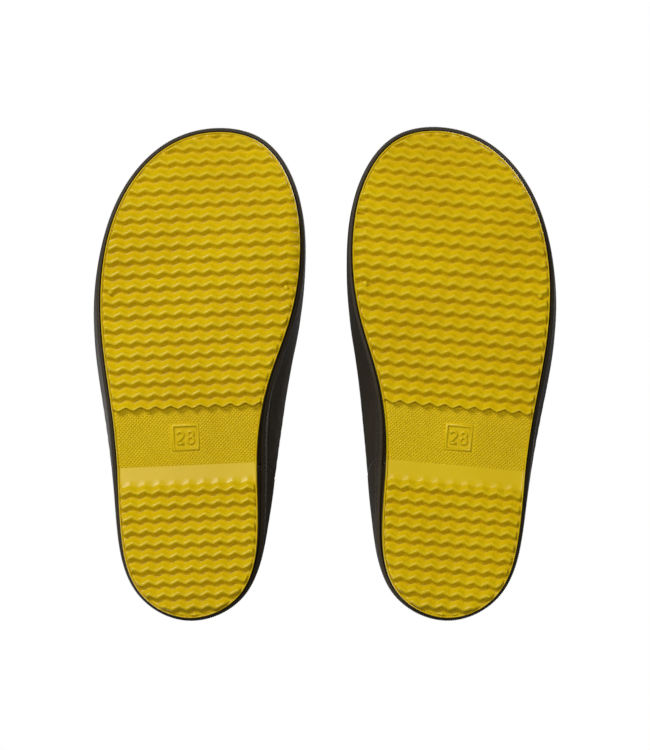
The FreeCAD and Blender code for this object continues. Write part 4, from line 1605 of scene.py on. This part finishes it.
    def finish(self, name: str, patch: Patch, finish: Finish, slot: str, knurl: bool = False,
               pitch_up: float = 1.5) -> None:
        """Make a piece of the upper, with or without its knurl.

        Args:
            name: the piece's name, which is its CAD node's name without the side.
            patch: its mesh.
            finish: its finish.
            slot: not used.
            knurl: whether its outer face is knurled.
            pitch_up: the knurl's pitch up the wall, in millimetres.
        """
        material = finish.material()
        piece = make_object(name, patch, self.place, [material])
        if knurl:
            follow_rule(piece, "knurl", {"Depth": self.knurl_depth * MM, "Pitch Along": self.knurl_pitch * MM,
                                         "Pitch Up": pitch_up * MM, "Material": material})
        finish_piece(piece, self.place.body, [name + "_" + self.place.side.word])

    def build(self) -> None:
        """Make all pieces of the upper."""
        self.build_vamp()
        self.build_leg()
        self.build_rand()
        self.build_counter()
        self.build_foxing()
        self.build_back_strip()
        self.build_band()


@dataclass
class Inside:
    """What the wearer touches: the knitted lining and the loose footbed."""
    form: UpperForm
    place: BootPlace
    lining_outer: float = -2.1
    lining_wall: float = 1.2
    knit_rib: float = 0.14
    knit_ribs: int = 90
    board_top: float = 1.6
    footbed_lift: float = 1.7
    footbed_thickness: float = 4.5
    footbed_inset: float = 4.3

    def build_lining(self) -> None:
        """The ribbed knit bonded inside the rubber."""
        s = np.arange(360) / 360
        layer = Layer(self.lining_outer - self.lining_wall, self.lining_outer, 120, 360, 0.5)
        low = self.form.above_sole(s, self.board_top + 0.1)
        high = self.form.at_height(s, self.form.height - 0.3)
        patch = layer.build(self.form, s, low, high, closed=True)
        count = layer.rows * layer.columns
        ribs = self.knit_rib * np.cos(2 * math.pi * self.knit_ribs * s)[None, :] * np.ones((layer.rows, 1))
        inner = patch.points[count:].reshape(layer.rows, layer.columns, 3)
        outer = patch.points[:count].reshape(layer.rows, layer.columns, 3)
        wall = unit(inner - outer)
        patch.points[count:] = (inner + wall * (ribs[..., None] - self.knit_rib)).reshape(-1, 3)
        piece = make_object("lining", patch, self.place, [KNIT_LINING.material()])
        finish_piece(piece, self.place.body, ["lining_" + self.place.side.word])

    def build_footbed(self) -> None:
        """The padded footbed: a crowned foam pad with a heel cup and a cloth top."""
        sole = self.form.sole
        s = np.arange(300) / 300
        edge_x, edge_y = sole.outline(s, self.footbed_inset)
        axis_y = np.clip(edge_y, 26, 168)
        axis_x = np.interp(axis_y, [26, 60, 100, 140, 168], [0.2, 1.6, 3.0, -0.6, -4.0])
        edge = [(0.985, 0.12), (1.0, 0.45), (0.997, 0.75), (0.985, 0.93)]
        sections = [(reach, 0.0) for reach in (0.0, 0.35, 0.7, 0.94)] + edge
        sections += [(reach, 1.0) for reach in (0.96, 0.9, 0.8, 0.65, 0.5, 0.35, 0.2, 0.0)]
        rings = []
        for reach, lift in sections:
            x = axis_x + (edge_x - axis_x) * reach
            y = axis_y + (edge_y - axis_y) * reach
            base = sole.top(y) + self.footbed_lift
            heel = ease((70 - y) / 50)
            arch = ease((x * -1 - 4) / 22) * bump(y - 84, 26)
            cup = 1.1 * heel * reach ** 3 + 1.2 * arch * reach ** 2 - 0.5 * heel * (1 - reach)
            crown = self.footbed_thickness - 0.9 + cup - 0.25 * bump(y - 132, 16) * (1 - reach ** 2)
            rings.append(np.stack([x, y, base + crown * lift], -1))
        patch = tube(np.stack(rings), caps=False)
        patch.values["surface_map"] = np.stack([patch.points[:, 0], patch.points[:, 1],
                                                np.zeros(len(patch.points))], 1) * MM
        materials = [FOOTBED_CLOTH.material(), FOAM.material()]
        piece = make_object("footbed", patch, self.place, materials, weld=0.02)
        for polygon in piece.data.polygons:
            polygon.material_index = int(polygon.normal.z < 0.35)
        finish_piece(piece, self.place.footbed_body, ["insole_" + self.place.side.word])

    def build(self) -> None:
        """Make the lining and the footbed."""
        self.build_lining()
        self.build_footbed()


@dataclass
class PullLoop:
    """The webbing loop at the back of the collar, with its stitches."""
    form: UpperForm
    place: BootPlace
    width: float = 12.0
    height: float = 26.0
    depth: float = 10.0
    wall: float = 1.8
    drop: float = 3.0
    back_y: float = -1.5

    def path(self) -> Array:
        """The webbing's middle line in side view (y, z): up the leg and back down in an arc."""
        half = self.height / 2 - self.wall / 2
        reach = self.depth - self.wall
        radius = (half ** 2 + reach ** 2) / (2 * reach)
        middle_z = self.form.height - self.drop - self.height / 2
        front = self.back_y - self.wall / 2
        sweep = math.asin(min(1.0, half / radius)) if reach < radius else math.pi - math.asin(half / radius)
        angle = np.linspace(-sweep, sweep, 33)
        arc = np.stack([front - reach + radius - radius * np.cos(angle),
                        middle_z + radius * np.sin(angle)], 1)
        line = np.linspace(arc[-1], arc[0], 12)[1:-1]
        return np.vstack([arc, line])

    def build(self) -> None:
        """Make the webbing and its stitches."""
        path = self.path()
        ahead = unit(np.roll(path, -1, 0) - np.roll(path, 1, 0))
        sideways = np.stack([ahead[:, 1], -ahead[:, 0]], 1)
        steps = np.linalg.norm(np.roll(path, -1, 0) - path, axis=1)
        lengths = np.concatenate([[0], np.cumsum(steps)[:-1]])
        half, thick = self.width / 2, self.wall / 2 - 0.1
        rim = 0.35
        section = [(-half, -thick + rim), (-half + rim, -thick), (half - rim, -thick), (half, -thick + rim),
                   (half, thick - rim), (half - rim, thick), (-half + rim, thick), (-half, thick - rim)]
        fine = []
        for (x0, d0), (x1, d1) in zip(section, section[1:] + section[:1]):
            count = 8 if abs(x1 - x0) > 2 else 1
            fine += [(x0 + (x1 - x0) * i / count, d0 + (d1 - d0) * i / count) for i in range(count)]
        rings = np.zeros((len(path), len(fine), 3))
        surface = np.zeros((len(path), len(fine), 3))
        for j, (x, d) in enumerate(fine):
            flat = path + sideways * d
            rings[:, j] = np.stack([np.full(len(path), x), flat[:, 0], flat[:, 1]], 1)
            surface[:, j] = np.stack([np.full(len(path), x), lengths, np.full(len(path), d)], 1)
        patch = tube(rings, caps=False, closed_path=True)
        patch.values["surface_map"] = surface.reshape(-1, 3) * MM
        piece = make_object("pull_loop", patch, self.place, [WEBBING.material()])
        finish_piece(piece, self.place.body, ["pull_loop_" + self.place.side.word])
        self.build_stitches(path)

    def build_stitches(self, path: Array) -> None:
        """Two rows of stitches along the edges of the webbing's arc."""
        arc = path[2:31:2]
        ahead = unit(path[3:32:2] - path[1:30:2])
        outward = np.stack([-ahead[:, 1], ahead[:, 0]], 1) * (self.wall / 2 - 0.1)
        points, aims = [], []
        for x in (-self.width / 2 + 1.6, self.width / 2 - 1.6):
            spots = arc + outward
            points.append(np.stack([np.full(len(arc), x), spots[:, 0], spots[:, 1]], 1))
            aims.append(np.stack([np.zeros(len(arc)), ahead[:, 0], ahead[:, 1]], 1))
        aim = np.vstack(aims)
        turn = self.place.turn
        turned = np.stack([-aim[:, 1] * math.sin(turn), aim[:, 1] * math.cos(turn), aim[:, 2]], 1)
        patch = Patch(np.vstack(points), [], {"aim": turned})
        material = STITCH.material()
        piece = make_object("loop_stitches", patch, self.place, [material])
        follow_rule(piece, "stitches", {"Length": 1.5 * MM, "Thickness": 0.5 * MM, "Material": material})
        finish_piece(piece, self.place.body)


class HiddenParts:
    """CAD nodes that stay as they are and only get a finish."""

    FINISHES = {"heel_filler": FILLER, "insole_board": BOARD}

    @classmethod
    def dress(cls, side: Side) -> None:
        """Give one boot's hidden nodes their materials."""
        for node, finish in cls.FINISHES.items():
            target = frame["nodes"][node + "_" + side.word]
            for slot in target.material_slots:
                slot.material = finish.material()
            log.info("%s dressed in %s", target.name, finish.name)


@dataclass
class Studio:
    """A pale floor, soft lights and the camera that looks up at the soles."""
    distance: float = 1.5
    frame_height: float = 0.30375
    sensor: float = 36.0
    aim: tuple = (-0.00286, 0.09864)

    def build_camera(self, heels: tuple) -> None:
        """The camera straight below the pair, toes up in its view.

        Args:
            heels: the middle between both heel tips.
        """
        data = bpy.data.cameras.new("camera")
        data.sensor_width = self.sensor
        data.lens = self.sensor * self.distance / self.frame_height
        data.clip_start = 0.05
        data.clip_end = 20.0
        camera = bpy.data.objects.new("camera", data)
        camera.location = (heels[0] + self.aim[0], heels[1] + self.aim[1], -self.distance)
        camera.rotation_euler = (math.pi, 0.0, math.pi)
        bpy.context.scene.collection.objects.link(camera)
        bpy.context.scene.camera = camera

    def build_floor(self) -> None:
        """A pale floor that shows and takes shadows from above only."""
        reach, count = 2.5, 64
        turns = np.linspace(0, 2 * math.pi, count, endpoint=False)
        points = [(reach * math.cos(a), reach * math.sin(a), -0.0004) for a in turns]
        mesh = bpy.data.meshes.new("floor")
        mesh.from_pydata(points, [], [tuple(range(count))])
        floor = bpy.data.objects.new("floor", mesh)
        bpy.context.scene.collection.objects.link(floor)
        material = bpy.data.materials.new("floor_paper")
        material.use_nodes = True
        nodes = Nodes(material.node_tree)
        shader = material.node_tree.nodes["Principled BSDF"]
        place = nodes.add("ShaderNodeTexCoord").outputs["Object"]
        tone = nodes.remap(nodes.noise(place, 3.0, 2.0), 0.3, 0.7)
        paper = nodes.blend(tone, (0.82, 0.82, 0.81, 1), (0.86, 0.86, 0.85, 1))
        nodes.tree.links.new(paper, shader.inputs["Base Color"])
        shader.inputs["Roughness"].default_value = 0.8
        clear = nodes.add("ShaderNodeBsdfTransparent")
        back = nodes.add("ShaderNodeNewGeometry").outputs["Backfacing"]
        mixed = nodes.add("ShaderNodeMixShader", {0: back, 1: shader.outputs[0], 2: clear.outputs[0]})
        nodes.tree.links.new(mixed.outputs[0], material.node_tree.nodes["Material Output"].inputs["Surface"])
        mesh.materials.append(material)
        floor.visible_shadow = False
        floor.visible_diffuse = False
        floor.visible_glossy = False

    def add_light(self, name: str, spot: tuple, size: float, power: float, shines: bool = True) -> None:
        """A square soft light at a spot, aimed at the boots, with or without highlights."""
        data = bpy.data.lights.new(name, "AREA")
        data.shape = "SQUARE"
        data.size = size
        data.energy = power
        light = bpy.data.objects.new(name, data)
        light.location = spot
        target = Vector((0, 0, 0.06)) - Vector(spot)
        light.rotation_euler = target.to_track_quat("-Z", "Y").to_euler()
        light.visible_glossy = shines
        bpy.context.scene.collection.objects.link(light)

    def build_lights(self) -> None:
        """Soft lights below for the soles and above for the uppers, and a pale world."""
        self.add_light("sole_key", (0.6, 0.8, -1.15), 0.4, 12.0)
        self.add_light("sole_front", (0.0, 0.1, -1.9), 1.2, 14.5, shines=False)
        self.add_light("top_key", (-0.7, 0.8, 1.3), 0.9, 24.0)
        self.add_light("top_fill", (0.9, -0.7, 1.0), 1.2, 12.0)
        world = bpy.data.worlds.new("studio")
        bpy.context.scene.world = world
        world.use_nodes = True
        nodes = Nodes(world.node_tree)
        lit = world.node_tree.nodes["Background"]
        lit.inputs["Color"].default_value = (1, 1, 1, 1)
        lit.inputs["Strength"].default_value = 0.09
        seen = nodes.add("ShaderNodeBackground", {"Color": (1, 1, 1, 1), "Strength": 1.0})
        ray = nodes.add("ShaderNodeLightPath").outputs["Is Camera Ray"]
        mixed = nodes.add("ShaderNodeMixShader", {0: ray, 1: lit.outputs[0], 2: seen.outputs[0]})
        nodes.tree.links.new(mixed.outputs[0], world.node_tree.nodes["World Output"].inputs["Surface"])
        bpy.context.scene.view_settings.view_transform = "Standard"

    def build(self) -> None:
        """Make the floor, the lights and the world."""
        self.build_floor()
        self.build_lights()


def main() -> None:
    """Build the camera, both boots and the studio, in that order."""
    sole = SoleForm()
    form = UpperForm(sole)
    places = [BootPlace.from_frame(side, form.collar_y) for side in Side]
    studio = Studio()
    studio.build_camera(tuple(sum(place.origin[k] for place in places) / 2 for k in range(2)))
    for place in places:
        Outsole(sole, place).build()
        Upper(form, place).build()
        Inside(form, place).build()
        PullLoop(form, place).build()
        HiddenParts.dress(place.side)
    studio.build()


if __name__ == "__main__":
    main()
